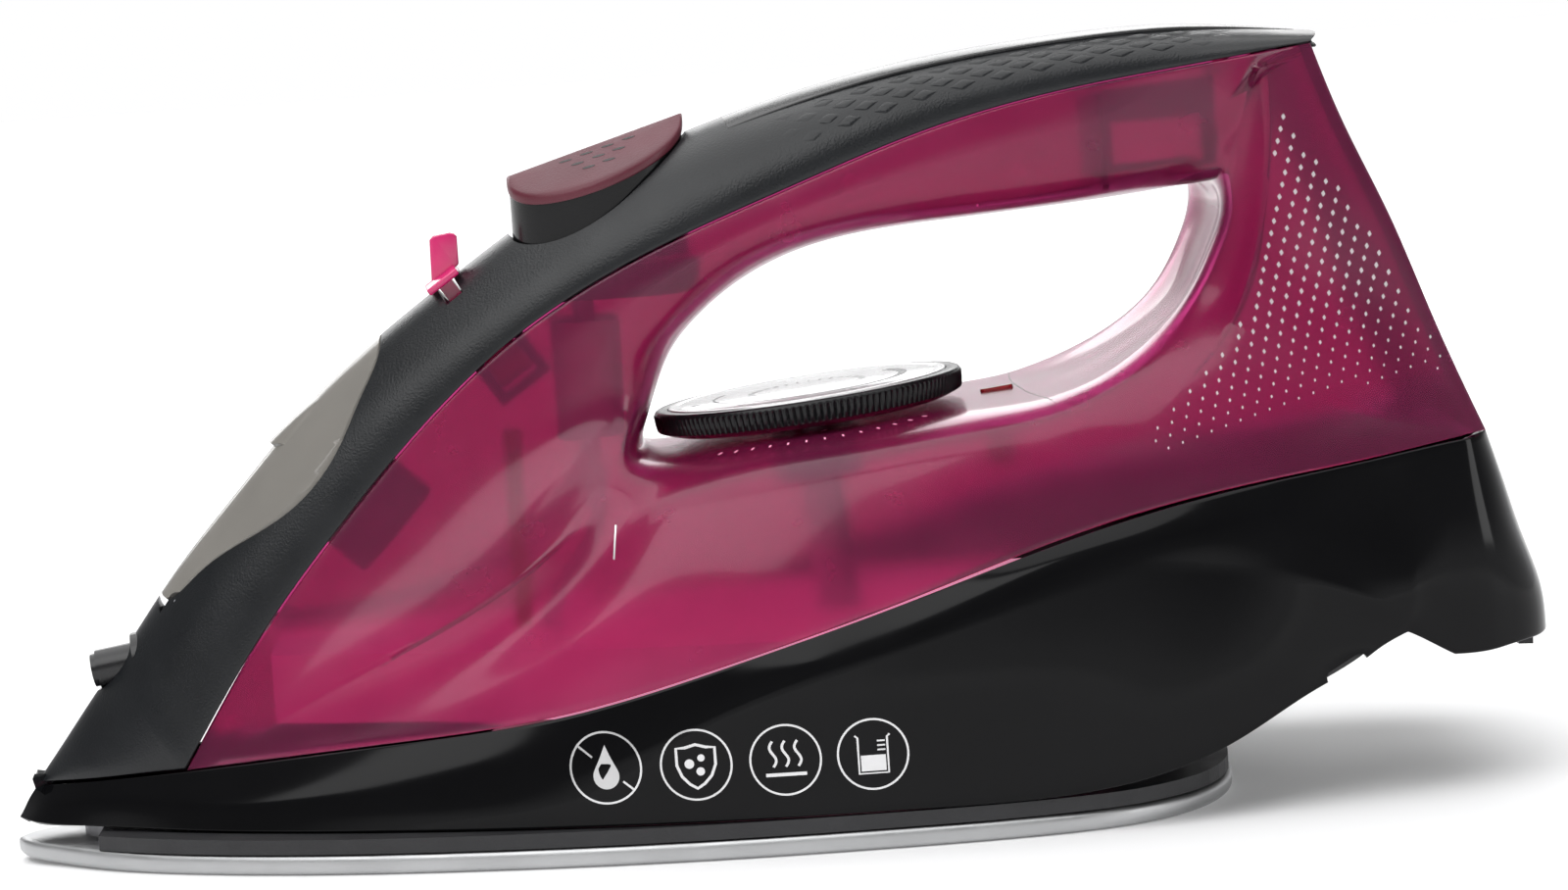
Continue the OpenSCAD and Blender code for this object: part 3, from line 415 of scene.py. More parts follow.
def make_materials():
    """Every finish, by the name of its slot."""
    made = {}

    def add(kind, name, *look, **more):
        made[name] = kind(name, *look, **more)

    brushed = (1, 14, 14)
    add(plastic, "brushed_sole", (0.5, 0.505, 0.51), 0.44, 0.06, 900, 0.05, metal=1, stretch=brushed)
    add(plastic, "cast_aluminium", (0.5, 0.5, 0.52), 0.5, 0.5, 500, metal=1)
    add(plastic, "heater_steel", (0.2, 0.18, 0.17), 0.42, 0.15, metal=1)
    add(plastic, "silicone", (0.55, 0.16, 0.04), 0.6, 0.1)
    add(plastic, "valve_brass", (0.6, 0.42, 0.14), 0.25, 0.05, metal=1)
    add(plastic, "fuse_ceramic", (0.72, 0.66, 0.56), 0.55, 0.1)
    add(plastic, "zinc_steel", (0.5, 0.51, 0.53), 0.3, 0.08, metal=1)
    add(plastic, "shield_plastic", (0.018, 0.018, 0.02), 0.5, 0.3, 1400)
    add(plastic, "gloss_black", (0.003, 0.003, 0.0035), 0.1, Specular_IOR_Level=0.16)
    add(plastic, "underside_black", (0.012, 0.012, 0.013), 0.42, 0.25, 1500)
    add(plastic, "wire_insulation", (0.3, 0.02, 0.012), 0.4)
    add(tinted, "tank_magenta", (0.46, 0.045, 0.19), 0.24, 0.86, coat=0.3, Specular_IOR_Level=0.5)
    # floor_pale glows pink by its emission: painted light, standing in for the light that comes through the
    # tinted tank onto this floor
    add(plastic, "floor_pale", (0.92, 0.42, 0.58), 0.4,
        Emission_Color=(1.0, 0.42, 0.62), Emission_Strength=0.55)
    add(plastic, "cover_satin", (0.0085, 0.0095, 0.011), 0.3, 0.3, 2400, Specular_IOR_Level=0.36)
    add(plastic, "inlay_black", (0.008, 0.008, 0.009), 0.26, 0.12, 2400)
    add(plastic, "nozzle_black", (0.006, 0.006, 0.007), 0.25, 0.05)
    add(tinted, "clear_hose", (0.85, 0.86, 0.86), 0.2, 0.5)
    add(plastic, "funnel_grey", (0.2, 0.2, 0.195), 0.45, 0.1)
    add(tinted, "lid_smoke", (0.3, 0.285, 0.26), 0.2, 0.35, coat=0.4)
    add(plastic, "frame_plastic", (0.02, 0.02, 0.022), 0.5, 0.2)
    add(plastic, "button_maroon", (0.1, 0.018, 0.03), 0.36, 0.3, 2200, Specular_IOR_Level=0.35)
    add(plastic, "sleeve_black", (0.006, 0.006, 0.0065), 0.24, 0.05, Specular_IOR_Level=0.25)
    add(plastic, "pump_white", (0.6, 0.58, 0.57), 0.45)
    add(plastic, "lever_pink", (0.56, 0.012, 0.13), 0.24, 0.05, coat=0.6)
    add(plastic, "dial_black", (0.005, 0.005, 0.006), 0.26, 0.12, 2600, Specular_IOR_Level=0.3)
    add(plastic, "dial_silver", (0.74, 0.74, 0.745), 0.22, 0.04, 2600, 0.03, metal=0.55)
    add(tinted, "lens_red", (0.5, 0.03, 0.03), 0.1, 0.6)
    return made


MATERIALS = make_materials()
SLOT_OF = {s["node"]: s["material_slot"] for s in frame["record"]["subparts"]}
for node, obj in frame["nodes"].items():
    obj.data.materials.clear()
    obj.data.materials.append(MATERIALS[SLOT_OF[node]])


def piece(obj, body, slot, *nodes):
    """Gives a finished piece its body, its finish and the CAD nodes that it stands for."""
    obj.data.materials.clear()
    obj.data.materials.append(MATERIALS[slot])
    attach(obj, body)
    if nodes:
        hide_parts(*nodes)
    return obj


# ---- sizes shared with the CAD ----
WALL = 2
SEAM = 0.3
BUTTON_LEN = 16.75
BUTTON_W = 13.7

HOUSING = [
    [[-144.5, 0, 8], [-143.5, 0, 9.6], [-142.7, 0, 11], [-141.6, 0, 12.6], [-140.5, 0, 14]],
    [[-141.5, 4.8, 7.8], [-140.5, 4.6, 9.5], [-139.5, 4.4, 11], [-138, 4.2, 12.8], [-136.6, 4, 14.4]],
    [[-130, 12.3, 7.4], [-129.7, 12, 9.5], [-129.2, 11.6, 11.5], [-128.6, 10.7, 13.4], [-128, 9.6, 15.3]],
    [[-111, 22.5, 7], [-111, 21.8, 9.5], [-111, 20.8, 12], [-111, 19, 14.5], [-111, 17.1, 17]],
    [[-75, 38, 6.8], [-75, 37.5, 10], [-75, 36.3, 13.8], [-75, 34.5, 17.5], [-75, 32, 21.3]],
    [[-40, 49, 6.8], [-40, 48.9, 11], [-40, 48.2, 16], [-40, 46.7, 21], [-40, 44.7, 26.3]],
    [[-10, 54.8, 6.8], [-10, 54.6, 17], [-10, 54.3, 27], [-10, 53.5, 30.5], [-10, 52.2, 34.3]],
    [[20, 57, 6.8], [20, 56.4, 22], [20, 55.6, 36.6], [20, 54.4, 39.5], [20, 52.7, 42.8]],
    [[45, 57, 7], [45, 56, 26], [45, 54.2, 43.6], [45, 53, 47], [45.5, 50.6, 50.3]],
    [[62, 56, 9], [62, 54.8, 28], [62, 52.3, 46.5], [62, 51.3, 50.5], [62, 48.6, 54.4]],
    [[78, 53.5, 14], [78, 52.7, 30], [78, 50.4, 44.8], [78, 49.6, 50.5], [79, 46.4, 57.6]],
    [[92, 50.5, 21], [92, 50, 31], [92, 49.6, 41.5], [92, 47.5, 50.5], [93, 44.4, 59.4]],
    [[104, 47.5, 26.7], [104, 47.4, 31], [104, 48.3, 36], [104, 45.7, 48], [105, 42.7, 60.8]],
    [[111, 45.5, 29.8], [111.3, 46.2, 31.5], [111.8, 46.8, 33.5], [112.5, 44.8, 47], [113, 41.7, 61.9]],
    [[119.5, 45, 25], [119.7, 45, 33], [120, 44.6, 41.5], [120.5, 43, 52], [121, 40.6, 63]],
    [[129, 43, 25.4], [129, 43, 34], [128.6, 42.3, 43.5], [127, 41, 54], [125.5, 39.6, 63.5]],
    [[136.8, 37.5, 26.2], [136.4, 37.5, 34], [134, 37, 43.5], [131.5, 36.5, 53.5], [128.5, 36.3, 64]],
    [[140.5, 22, 27], [139.8, 22, 34], [137, 22, 43.5], [133.6, 22, 53], [130, 22, 63.6]],
    [[141.5, 0, 27.4], [140.7, 0, 34.2], [137.9, 0, 43.5], [134.4, 0, 53], [130.8, 0, 63.6]]]
TANK = [
    [[-111, 17, 17.2], [-80, 26.5, 33], [-45, 34.5, 52], [-34, 34, 61], [-27, 31, 67],
     [-22.8, 17, 69.5], [-22.3, 0, 70.5]],
    [[-95, 16.5, 41], [-70, 22.5, 50], [-47, 27, 60], [-36, 28, 66.5], [-28, 26.5, 71.5],
     [-22.6, 15, 74.5], [-21.8, 0, 75]],
    [[-80.5, 16.5, 58.5], [-62, 20.5, 63.5], [-46, 22.5, 69], [-35, 22.5, 74], [-26, 20.5, 78],
     [-20.3, 12, 80.5], [-19.5, 0, 81]],
    [[-66, 16.8, 74], [-53, 19.3, 76.5], [-41, 20.8, 79.5], [-31, 20.8, 82.5], [-23, 18.5, 85],
     [-17.3, 11, 87], [-16.4, 0, 87]],
    [[-43.6, 18, 93], [-35.5, 19.8, 92.5], [-28, 20.5, 92.3], [-21, 20, 92.3], [-15.5, 17.3, 92.7],
     [-11.6, 10.5, 93.2], [-10.8, 0, 93.4]],
    [[-18, 19.8, 106.6], [-14.5, 20.6, 104.8], [-11, 20.8, 103], [-8, 19.8, 101.6], [-5.2, 16.8, 100.3],
     [-3, 10, 99.5], [-2.5, 0, 99.3]],
    [[7, 20, 116], [8.2, 20.8, 113.3], [9.4, 20.8, 110.8], [10.5, 19.6, 108.4], [11.5, 16.5, 106.4],
     [12.3, 10, 105.4], [12.5, 0, 105.1]],
    [[32, 20, 124.5], [32, 20.9, 120.5], [32, 20.9, 116], [32, 19.6, 111.8], [32, 16.3, 109],
     [32, 10, 107.8], [32, 0, 107.4]],
    [[58, 20.5, 130.2], [58, 21.2, 125], [58, 21, 119.5], [58, 19.6, 114.2], [58, 16.3, 110.8],
     [58, 10, 109.4], [58, 0, 108.9]],
    [[83, 22.3, 133.4], [82, 22, 127.5], [81.2, 21.3, 121.5], [80.5, 19.8, 116], [80, 16.8, 112.6],
     [79.5, 10, 111.2], [79.5, 0, 110.8]],
    [[102.5, 28.5, 136], [98, 28.3, 135], [93.5, 27.3, 133.8], [90, 23.5, 124], [86, 20.5, 113.5],
     [85.5, 11, 111.8], [85.5, 0, 111.3]],
    [[107, 31, 122], [100.5, 31, 121], [93.5, 28.5, 120], [90, 24, 115.5], [86.5, 21, 110],
     [86.7, 11, 109.5], [87, 0, 109.3]],
    [[114, 34, 104.5], [104, 33.5, 103], [91, 29.5, 103.5], [88, 25, 102.5], [84.3, 21.5, 100.5],
     [84.8, 11, 100.8], [85.3, 0, 101]],
    [[121, 37, 84], [108, 36, 83], [87, 31.5, 91.5], [84, 27, 91.5], [79, 23, 91],
     [79.6, 12, 91.2], [80.2, 0, 91.3]],
    [[128.5, 39, 64.5], [105, 41, 70], [81, 35.5, 82.5], [76.5, 31, 84], [71, 29, 83.3],
     [71.3, 14, 83.8], [71.8, 0, 84]],
    [[105, 42.5, 61], [93, 43, 64.5], [74, 39, 76], [69, 36.5, 78], [62, 35.5, 78],
     [62.3, 16, 78.8], [62.5, 0, 79]],
    [[80, 46, 58], [76, 45.5, 62], [66, 43, 69], [61, 41.5, 72.5], [53, 39, 74.5],
     [52, 18, 75.6], [52, 0, 75.8]],
    [[52, 49.5, 52.5], [50.5, 48, 60], [47, 45.5, 67], [43, 43, 70.8], [38, 38.5, 72.8],
     [37, 19, 74.1], [37, 0, 74.3]],
    [[20, 52.5, 43], [19.5, 50.5, 53], [19, 46.5, 63], [18, 42.5, 68.5], [17, 37, 70.8],
     [17, 19, 72.3], [17, 0, 72.5]],
    [[-10, 52, 34.5], [-9, 50, 46], [-7, 46, 58], [-6, 41, 65.5], [-4, 35.5, 68.6],
     [-3, 18, 70.5], [-3, 0, 70.7]],
    [[-40, 44.5, 26.5], [-33, 44.5, 40], [-26, 41.5, 54], [-21, 37.5, 62.5], [-16, 33, 66.5],
     [-14, 17, 69], [-14, 0, 69.2]],
    [[-75, 31.8, 21.5], [-58, 34, 34], [-38, 36, 51], [-31, 35, 60], [-23, 31.5, 66],
     [-20, 17, 68.7], [-20, 0, 69]]]
LOWER_FRONT, UPPER_REAR, LOWER_REAR = 0, 10, 14
EDGE_SHARP = [0.2, 0.1, 0, 0, 0, 0, 0, 0, 0, 0.3, 0.8, 0.9, 0.9, 0.9, 0.9, 0.8, 0.6, 0.3, 0.2, 0.2, 0.2, 0.2]
NOSE_SEAM = [[-139.7, 1.5, 14.5], [-128, 9.5, 15.6], [-119, 13.5, 16.5], [-111, 17, 17.2]]
RIDGE = [[-140.5, 0, 14.6], [-135, 0, 21.7], [-130, 0, 28.3], [-124, 0, 36], [-111, 0, 53], [-99, 0, 66.3],
         [-82.5, 0, 83.5], [-56, 0, 103.5], [-28, 0, 120.5], [3, 0, 131.5], [32, 0, 137.3], [58, 0, 140],
         [83, 0, 140.6], [105, 0, 138.4]]
SQUARE = [1.5, 1.5, 1.5, 1.55, 1.6, 1.6, 1.6, 1.6, 1.7, 2, 2.4, 2.5, 2.6, 3]


def at(place, tilt):
    """The frame at place, tilted about Y."""
    return shift(*place) @ turn(tilt, "Y")


# ---- tank ----
TANK_U, TANK_V = 12, 7
EDGE_COLUMN = 2
REAR_COLS = 41
REAR_CROWN = 2


def tank_rails():
    """The curves that run round the handle's opening through each column of the table."""
    tank = np.array(TANK, float)
    rails = []
    for j in range(tank.shape[1]):
        corners = [1.0 if i == UPPER_REAR or (j < 3 and i in (LOWER_FRONT, LOWER_REAR)) else 0.0
                   for i in range(len(tank))]
        rails.append(spline(tank[:, j], TANK_U, corners, closed=True))
    return np.stack(rails, axis=1)


def tank_grid(rails):
    edge = np.column_stack([EDGE_SHARP, np.zeros((len(EDGE_SHARP), 2))])
    edge = np.clip(spline(edge, TANK_U, closed=True)[:, 0], 0, 0.95)
    rows = []
    for rail, e in zip(rails, edge):
        sharp = np.zeros(2 * len(rail) - 1)
        sharp[[EDGE_COLUMN, -1 - EDGE_COLUMN]] = e
        rows.append(spline(both_sides(rail), TANK_V, sharp))
    return np.stack(rows)


RAILS = tank_rails()
TANK_SKIN = tank_grid(RAILS)
AT_DIAL = at((8.7, 0, 78.1), -5)
AT_LENS = at((44.5, 0, 75.1), -6)


def pill(half, r, steps=16):
    """Outline of a pill along X."""
    q = np.radians(np.linspace(-90, 90, steps))
    end = np.column_stack([half + r * np.cos(q), r * np.sin(q)])
    return np.concatenate([end, -end])


def water_tank():
    tank = shell("water_tank", TANK_SKIN, WALL, out=-1, loop=True)
    bush = rod_tool(8.15, -25, -3, AT_DIAL)
    lens = prism(pill(2.1, 1.15), -6, 3, AT_LENS)
    cut(tank, bush, lens)
    return piece(tank, "root", "tank_magenta", "water_tank")


def rear_cover():
    rows = []
    k = np.linspace(-1, 1, REAR_COLS)
    for p in RAILS[UPPER_REAR * TANK_U : LOWER_REAR * TANK_U + 1, 0]:
        x = p[0] + REAR_CROWN * (1 - k**2)
        rows.append(np.column_stack([x, k * (p[1] - WALL - SEAM), np.full(REAR_COLS, p[2])]))
    cover = shell("rear_cover", np.stack(rows), WALL, level_edges=False)
    return piece(cover, "root", "gloss_black", "rear_cover")


# ---- nose and handle cover ----
NOSE_SPANS = 3
COVER_STEPS = [8] * NOSE_SPANS + [14] * UPPER_REAR
COVER_V = 24
COVER_LIFT = 0.25


def cover_grid():
    outer_seam = np.array(TANK, float)[:, 0]
    corners = [1.0 if i in (LOWER_FRONT, UPPER_REAR, LOWER_REAR) else 0.0 for i in range(len(TANK))]
    nose = spline(NOSE_SEAM, COVER_STEPS[:NOSE_SPANS])[:-1]
    steps = COVER_STEPS[NOSE_SPANS:]
    along = spline(outer_seam, steps + [1] * (len(TANK) - UPPER_REAR), corners, closed=True)[: sum(steps) + 1]
    seam = np.concatenate([nose, along]) + (-COVER_LIFT, 0, COVER_LIFT)
    ridge = spline(RIDGE, COVER_STEPS)
    square = spline(np.column_stack([SQUARE, np.zeros((len(SQUARE), 2))]), COVER_STEPS)[:, 0]
    q = np.linspace(0, math.pi / 2, COVER_V + 1)
    rows = []
    for a, top, s in zip(seam, ridge, square):
        up = np.sin(q) ** (2 / s)
        out = np.maximum(np.cos(q), 0) ** (2 / s)
        half = np.column_stack([a[0] + (top[0] - a[0]) * up, a[1] * out, a[2] + (top[2] - a[2]) * up])
        rows.append(both_sides(half))
    return np.stack(rows)


COVER_SKIN = cover_grid()
AT_LID = at((-114.3, 0, 48.3), -46.2)
LID = [[0, 0], [0.2, 4], [8, 7.2], [20, 10.8], [29, 12.8], [37.5, 13.2], [45.6, 12.3], [53, 10.2],
       [60.5, 6.2], [63.4, 0]]
LID_MIDDLE = 31.5
LID_HALF_W = 13
LID_T = 1.8
LID_GAP = 0.4
LID_ROWS = 140
AT_HINGE = AT_LID @ shift(1.2, 0, -3.2) @ turn(90, "X")
BUTTON_X, BUTTON_Z = -27.85, 126.75
BUTTON_LEAN, BUTTON_FALL, BUTTON_GAP = 16.1, 25, 0.3
BUTTON_ARCH = 0.8
BUTTON_CLEAR = 0.45
CAP_T = 2.2
SLEEVE_LOW = 105
AT_NOZZLE = at((-128.5, 0, 34.6), 82)
NOZZLE_R = 3.7
AT_LEVER = at((-57.5, 0, 102.6), -34) @ shift(0, 0, -19)


def lid_outline(grow):
    h = spline([[x, y, 0] for x, y in LID], 8)
    x = LID_MIDDLE + (h[:, 0] - LID_MIDDLE) * (1 + grow / LID_MIDDLE)
    y = h[:, 1] * (1 + grow / LID_HALF_W)
    return np.concatenate([np.column_stack([x, -y]), np.column_stack([x, y])[-2:0:-1]])


def lid_prism(grow):
    return prism(lid_outline(grow), -26, 20, AT_LID)


def button_outline(side, inset, arc=60, edge=20):
    """One button seen from above: an arch and a straight edge beside the middle line."""
    q = np.radians(np.linspace(0, 180, arc + 1))
    length, width = BUTTON_LEN - inset, BUTTON_W - 2 * inset
    reach = BUTTON_GAP + inset + width * np.sin(q) ** BUTTON_ARCH
    arch = np.column_stack([length * np.cos(q) * side, side * reach])
    x = np.linspace(-length, length, edge + 1)[1:-1] * side
    straight = np.column_stack([x, np.full(edge - 1, side * (BUTTON_GAP + inset))])
    return np.concatenate([arch, straight]) + (BUTTON_X, 0)


def buttons_opening(grow):
    """The hole for both buttons."""
    q = np.radians(np.linspace(0, 180, 61))
    y = BUTTON_GAP - grow + (BUTTON_W + 2 * grow) * np.sin(q) ** BUTTON_ARCH
    arch = np.column_stack([(BUTTON_LEN + grow) * np.cos(q), np.maximum(y, 1)])
    return np.concatenate([arch, -arch]) + (BUTTON_X, 0)


def lever_sector(low, high, half, angle):
    """A sector of a tube about the lever's pivot."""
    arc = np.radians(np.linspace(-angle, angle, 30))
    ring = [[r * math.sin(a), r * math.cos(a)] for r, step in ((high, 1), (low, -1)) for a in arc[::step]]
    along = Matrix(((0, 0, 1, 0), (1, 0, 0, 0), (0, 1, 0, 0), (0, 0, 0, 1)))
    return prism(ring, -half, half, AT_LEVER @ along)


def nose_cover():
    cover = shell("nose_cover", COVER_SKIN, WALL)
    tools = [prism(buttons_opening(BUTTON_CLEAR), 100, 140), lid_prism(LID_GAP)]
    tools.append(rod_tool(4, -5, 5, AT_HINGE))
    tools.append(rod_tool(NOZZLE_R + 0.15, -20, 20, AT_NOZZLE))
    tools.append(lever_sector(14, 26, 1.9, 29))
    for tool in tools:
        cut(cover, tool)
    return piece(cover, "root", "cover_satin", "nose_cover")


RIDGE_S = (34.4, 48)
RIDGE_HALF, RIDGE_H = 4.6, 1.1
RIDGE_SINK = 0.25


def thumb_ridge(lid):
    """A crescent for the finger that lifts the lid: a step at its low end that fades into the lid."""
    skin = BVHTree.FromObject(lid, bpy.context.evaluated_depsgraph_get())
    down = AT_LID.to_3x3() @ Vector((0, 0, -1))
    rows = []
    for s in np.linspace(*RIDGE_S, 12):
        fade = (RIDGE_S[1] - s) / (RIDGE_S[1] - RIDGE_S[0])
        row = []
        for y in np.linspace(-RIDGE_HALF, RIDGE_HALF, 13):
            across = 1 - (y / RIDGE_HALF) ** 2
            spot = s + 2.2 * (1 - across)
            hit = skin.ray_cast(AT_LID @ (Vector((spot, y, 12)) * MM), down)[0]
            local = AT_LID.inverted() @ hit / MM
            rise = (RIDGE_H + RIDGE_SINK) * fade**0.8 * across**0.5
            row.append((local.x, local.y, local.z - RIDGE_SINK + rise))
        rows.append(row)
    top = np.array(rows)
    ring = [top[:, j] for j in range(top.shape[1])]
    ring += [top[:, j] - (0, 0, 1.3) for j in range(top.shape[1] - 1, -1, -1)]
    rings = np.stack(ring, axis=1)
    return add_mesh("ridge", rings.reshape(-1, 3), capped_tube(*rings.shape[:2]), AT_LID)


def filler_lid():
    lid = shell("filler_lid", COVER_SKIN[:LID_ROWS], LID_T)
    cut(lid, lid_prism(0), mode="INTERSECT")
    cut(lid, rod_tool(1.95, -6, 6, AT_HINGE))
    cut(lid, thumb_ridge(lid), mode="UNION")
    return piece(lid, "lid", "lid_smoke", "filler_lid")


INLAY_X = (-4, 103)


def handle_inlay():
    """The strip let into the top of the handle."""
    rows = [i for i in range(len(COVER_SKIN)) if INLAY_X[0] < COVER_SKIN[i, COVER_V, 0] < INLAY_X[1]]
    first, last = COVER_V * 2 // 3, COVER_V * 4 // 3
    span = np.arange(len(rows))
    lift = 0.08 + 0.47 * np.clip(np.minimum(span, span[::-1]) / 14, 0, 1)
    skin = COVER_SKIN[rows[0] : rows[-1] + 1]
    g = (skin + normals(skin, False) * lift[:, None, None])[:, first : last + 1]
    strip = shell("handle_inlay", g, 0.5, level_edges=False)
    return piece(strip, "root", "inlay_black", "handle_inlay")


# ---- housing ----
HOUSING_U, HOUSING_V = 12, 8
HEEL_CORNERS = (13, 14)
CREASE = 0.9
CREASE_FROM, CREASE_TO = 4, 13.5


def housing_grid():
    table = np.array(HOUSING, float)
    corners = [0.8 if i in HEEL_CORNERS else 0.0 for i in range(len(table))]
    rails = np.stack([spline(table[:, j], HOUSING_U, corners) for j in range(5)], axis=1)
    half = []
    for i, rail in enumerate(rails):
        station = i / HOUSING_U
        ends = np.clip((station - CREASE_FROM) / 2, 0, 1) * np.clip((CREASE_TO - station) / 2, 0, 1)
        half.append(spline(rail, HOUSING_V, [0, 0, CREASE * ends, 0, 0]))
    half = np.stack(half)
    return half, np.concatenate([half * (1, -1, 1), half[-2:0:-1]])


HOUSING_HALF, HOUSING_SKIN = housing_grid()


NOTCH = [[96.5, 23.2], [101.5, 25.6]]
NOTCH_R = 1.4


def side_notches():
    """A shallow slot in each side's lower edge."""
    q = np.radians(np.arange(0, 360, 15))
    ahead = np.degrees(math.atan2(NOTCH[1][1] - NOTCH[0][1], NOTCH[1][0] - NOTCH[0][0]))
    half = math.dist(*NOTCH) / 2
    ring = [[NOTCH_R * math.cos(a) + (half if math.cos(a) > 0 else -half), NOTCH_R * math.sin(a)] for a in q]
    middle = ((NOTCH[0][0] + NOTCH[1][0]) / 2, 0, (NOTCH[0][1] + NOTCH[1][1]) / 2)
    place = shift(*middle) @ turn(90, "X") @ turn(ahead, "Z")
    return [prism(ring, *ends, place) for ends in ((42, 62), (-62, -42))]


def lower_housing():
    housing = shell("lower_housing", HOUSING_SKIN, WALL, loop=True, level_edges=False)
    cut(housing, *side_notches())
    return piece(housing, "root", "gloss_black", "lower_housing")


BASE_X, BASE_Y = 56, 16
DOCK_X, DOCK_HALF, DOCK_TOP, DOCK_GAP = (122, 134), 21, 39, 1.7


def base_cover():
    """The underside behind the soleplate."""
    rows = []
    k = np.linspace(-1, 1, REAR_COLS)
    for p in HOUSING_HALF[:, 0]:
        if p[0] > BASE_X and p[1] > BASE_Y:
            x = np.full(REAR_COLS, p[0] - (3 if p[0] > 136 else 0))
            rows.append(np.column_stack([x, k * (p[1] - WALL - SEAM), np.full(REAR_COLS, p[2] + 0.4)]))
    cover = shell("base_cover", np.stack(rows), WALL, out=-1, level_edges=False)
    half = DOCK_HALF + DOCK_GAP
    dock = box_outline(DOCK_X[0] - DOCK_GAP, DOCK_X[1] + DOCK_GAP, -half, half)
    cut(cover, prism(sole_outline(7), -5, 40), prism(dock, 10, DOCK_TOP + DOCK_GAP))
    return piece(cover, "root", "underside_black", "base_cover")


# ---- soleplate ----
SOLE = [[-145, 0], [-143.4, 4.2], [-138, 10], [-127, 19.5], [-111, 29.5], [-88, 39.5], [-54, 49], [-20, 54.8],
        [15, 57], [42, 56.5], [60, 52.5], [72, 43.5], [79.5, 30], [82.3, 15], [83, 0]]
SOLE_X, SOLE_L, SOLE_W = -31, 228, 114
HOLE_ROWS = [[-128, 5, 1], [-116, 8, 2], [-102, 12, 2], [-86, 17, 2], [-68, 21, 2], [-48, 25, 2],
             [-26, 28, 2], [0, 30, 2], [28, 30, 2]]
NOSE_RISE = 0.9


def sole_outline(inset):
    h = spline([[x, y, 0] for x, y in SOLE], 8)
    x = SOLE_X + (h[:, 0] - SOLE_X) * (SOLE_L - 2 * inset) / SOLE_L
    y = h[:, 1] * (SOLE_W - 2 * inset) / SOLE_W
    return np.concatenate([np.column_stack([x, -y]), np.column_stack([x, y])[-2:0:-1]])


def soleplate():
    profile = [(6, 0), (1.6, 0), (0.9, 0.12), (0.4, 0.45), (0.1, 0.95), (0, 1.5), (0, 2.4), (0.1, 2.95),
               (0.4, 3.35), (0.9, 3.55), (1.4, 3.6), (6, 3.6)]
    rings = []
    for inset, z in profile:
        ring = sole_outline(inset)
        rise = NOSE_RISE * np.clip((-112 - ring[:, 0]) / 33, 0, 1) ** 2
        rings.append(np.column_stack([ring, z + rise]))
    plate = stack("soleplate", rings, sharp=50)
    tools = []
    for x, y, count in HOLE_ROWS:
        for k in range(count):
            for s in (-1, 1):
                tools.append(shift(x + 4 * k, s * (y + 9 * k), 0))
    holes = [rod_tool(1.3, -1, 9, t, 20) for t in tools]
    cut(plate, join("holes", holes), sharp=50)
    return piece(plate, "root", "brushed_sole", "soleplate")


# ---- buttons ----
def button_top(x, y):
    """Height of the plane that the buttons' tops lie in."""
    lean = math.tan(math.radians(BUTTON_LEAN))
    fall = math.tan(math.radians(BUTTON_FALL)) / math.cos(math.radians(BUTTON_LEAN))
    return BUTTON_Z + lean * (x - BUTTON_X) - np.abs(y) * fall


def button_ring(side, inset, depth, shrink=1.0):
    ring = button_outline(side, inset)
    centre = np.array([BUTTON_X, side * (BUTTON_GAP + BUTTON_W * 0.45)])
    ring = centre + (ring - centre) * shrink
    return np.column_stack([ring, button_top(ring[:, 0], ring[:, 1]) - depth])


def button(side, body, name):
    """A cap with rounded edges and a slight crown, on the sleeve that slides in the frame."""
    edge = [(0.25, CAP_T), (0.05, CAP_T - 0.15), (0, CAP_T - 0.4), (0, 0.95), (0.08, 0.62), (0.3, 0.36),
            (0.65, 0.22)]
    rings = [button_ring(side, inset, depth) for inset, depth in edge]
    for shrink in (0.92, 0.82, 0.7, 0.55, 0.4, 0.25, 0.1):
        rings.append(button_ring(side, 0.65, 0.22 * shrink**2, shrink))
    cap = stack(name + "_cap", rings, sharp=60)
    piece(cap, body, "button_maroon", name + "_cap")
    low = button_outline(side, 0.4)
    foot = np.column_stack([low, np.full(len(low), SLEEVE_LOW)])
    sleeve = stack(name + "_sleeve", [foot, button_ring(side, 0.4, CAP_T)], sharp=50)
    piece(sleeve, body, "sleeve_black", name + "_sleeve")
    return cap


# ---- steam lever ----
def steam_lever():
    """The tab, the plate that covers its slot and the arm down to the pivot."""
    lever = lever_sector(19.4, 20.7, 3.4, 17)
    bevel(lever, 0.35)
    bake(lever)
    tab = prism([[-59.9, 102.2], [-54.6, 105.7], [-54.6, 110.9], [-55.1, 111.5], [-55.9, 111.7], [-59, 111.3],
                 [-59.7, 110.6]], -1.4, 1.4, turn(90, "X"))
    bevel(tab, 0.3, 50)
    bake(tab)
    arm = prism(box_outline(-1.4, 1.4, -2.4, 2.4), 2.5, 20, AT_LEVER)
    cut(lever, tab, arm, rod_tool(3.6, -3.5, 3.5, AT_LEVER @ turn(90, "Y")), mode="UNION")
    cut(lever, rod_tool(1.65, -10, 10, AT_LEVER @ turn(90, "Y")))
    return piece(lever, "lever", "lever_pink", "steam_lever")


RIB_X, RIB_WINDOW = (65.5, 89), (69, 86, 115.5, 123.5)


def handle_rib():
    """The partition inside the handle and the rib behind it, seen through the tinted wall."""
    upright = turn(90, "X")
    front, back = RIB_X
    rib = prism([[front, 112.4], [back, 114.2], [back, 131], [front, 129.5]], -0.8, 0.8, upright)
    cut(rib, prism(box_outline(*RIB_WINDOW), -3, 3, upright))
    wall = prism(box_outline(front - 0.6, front + 0.6, 112.6, 129), -15, 15, upright)
    bevel(wall, 0.3)
    bake(wall)
    piece(wall, "root", "button_maroon")
    piece(rib, "root", "button_maroon")
    wall.name, rib.name = "handle_partition", "handle_rib"


# ---- temperature dial ----
RIBS = 144
RIB_STEPS = 6
RIB_DEPTH = 0.5


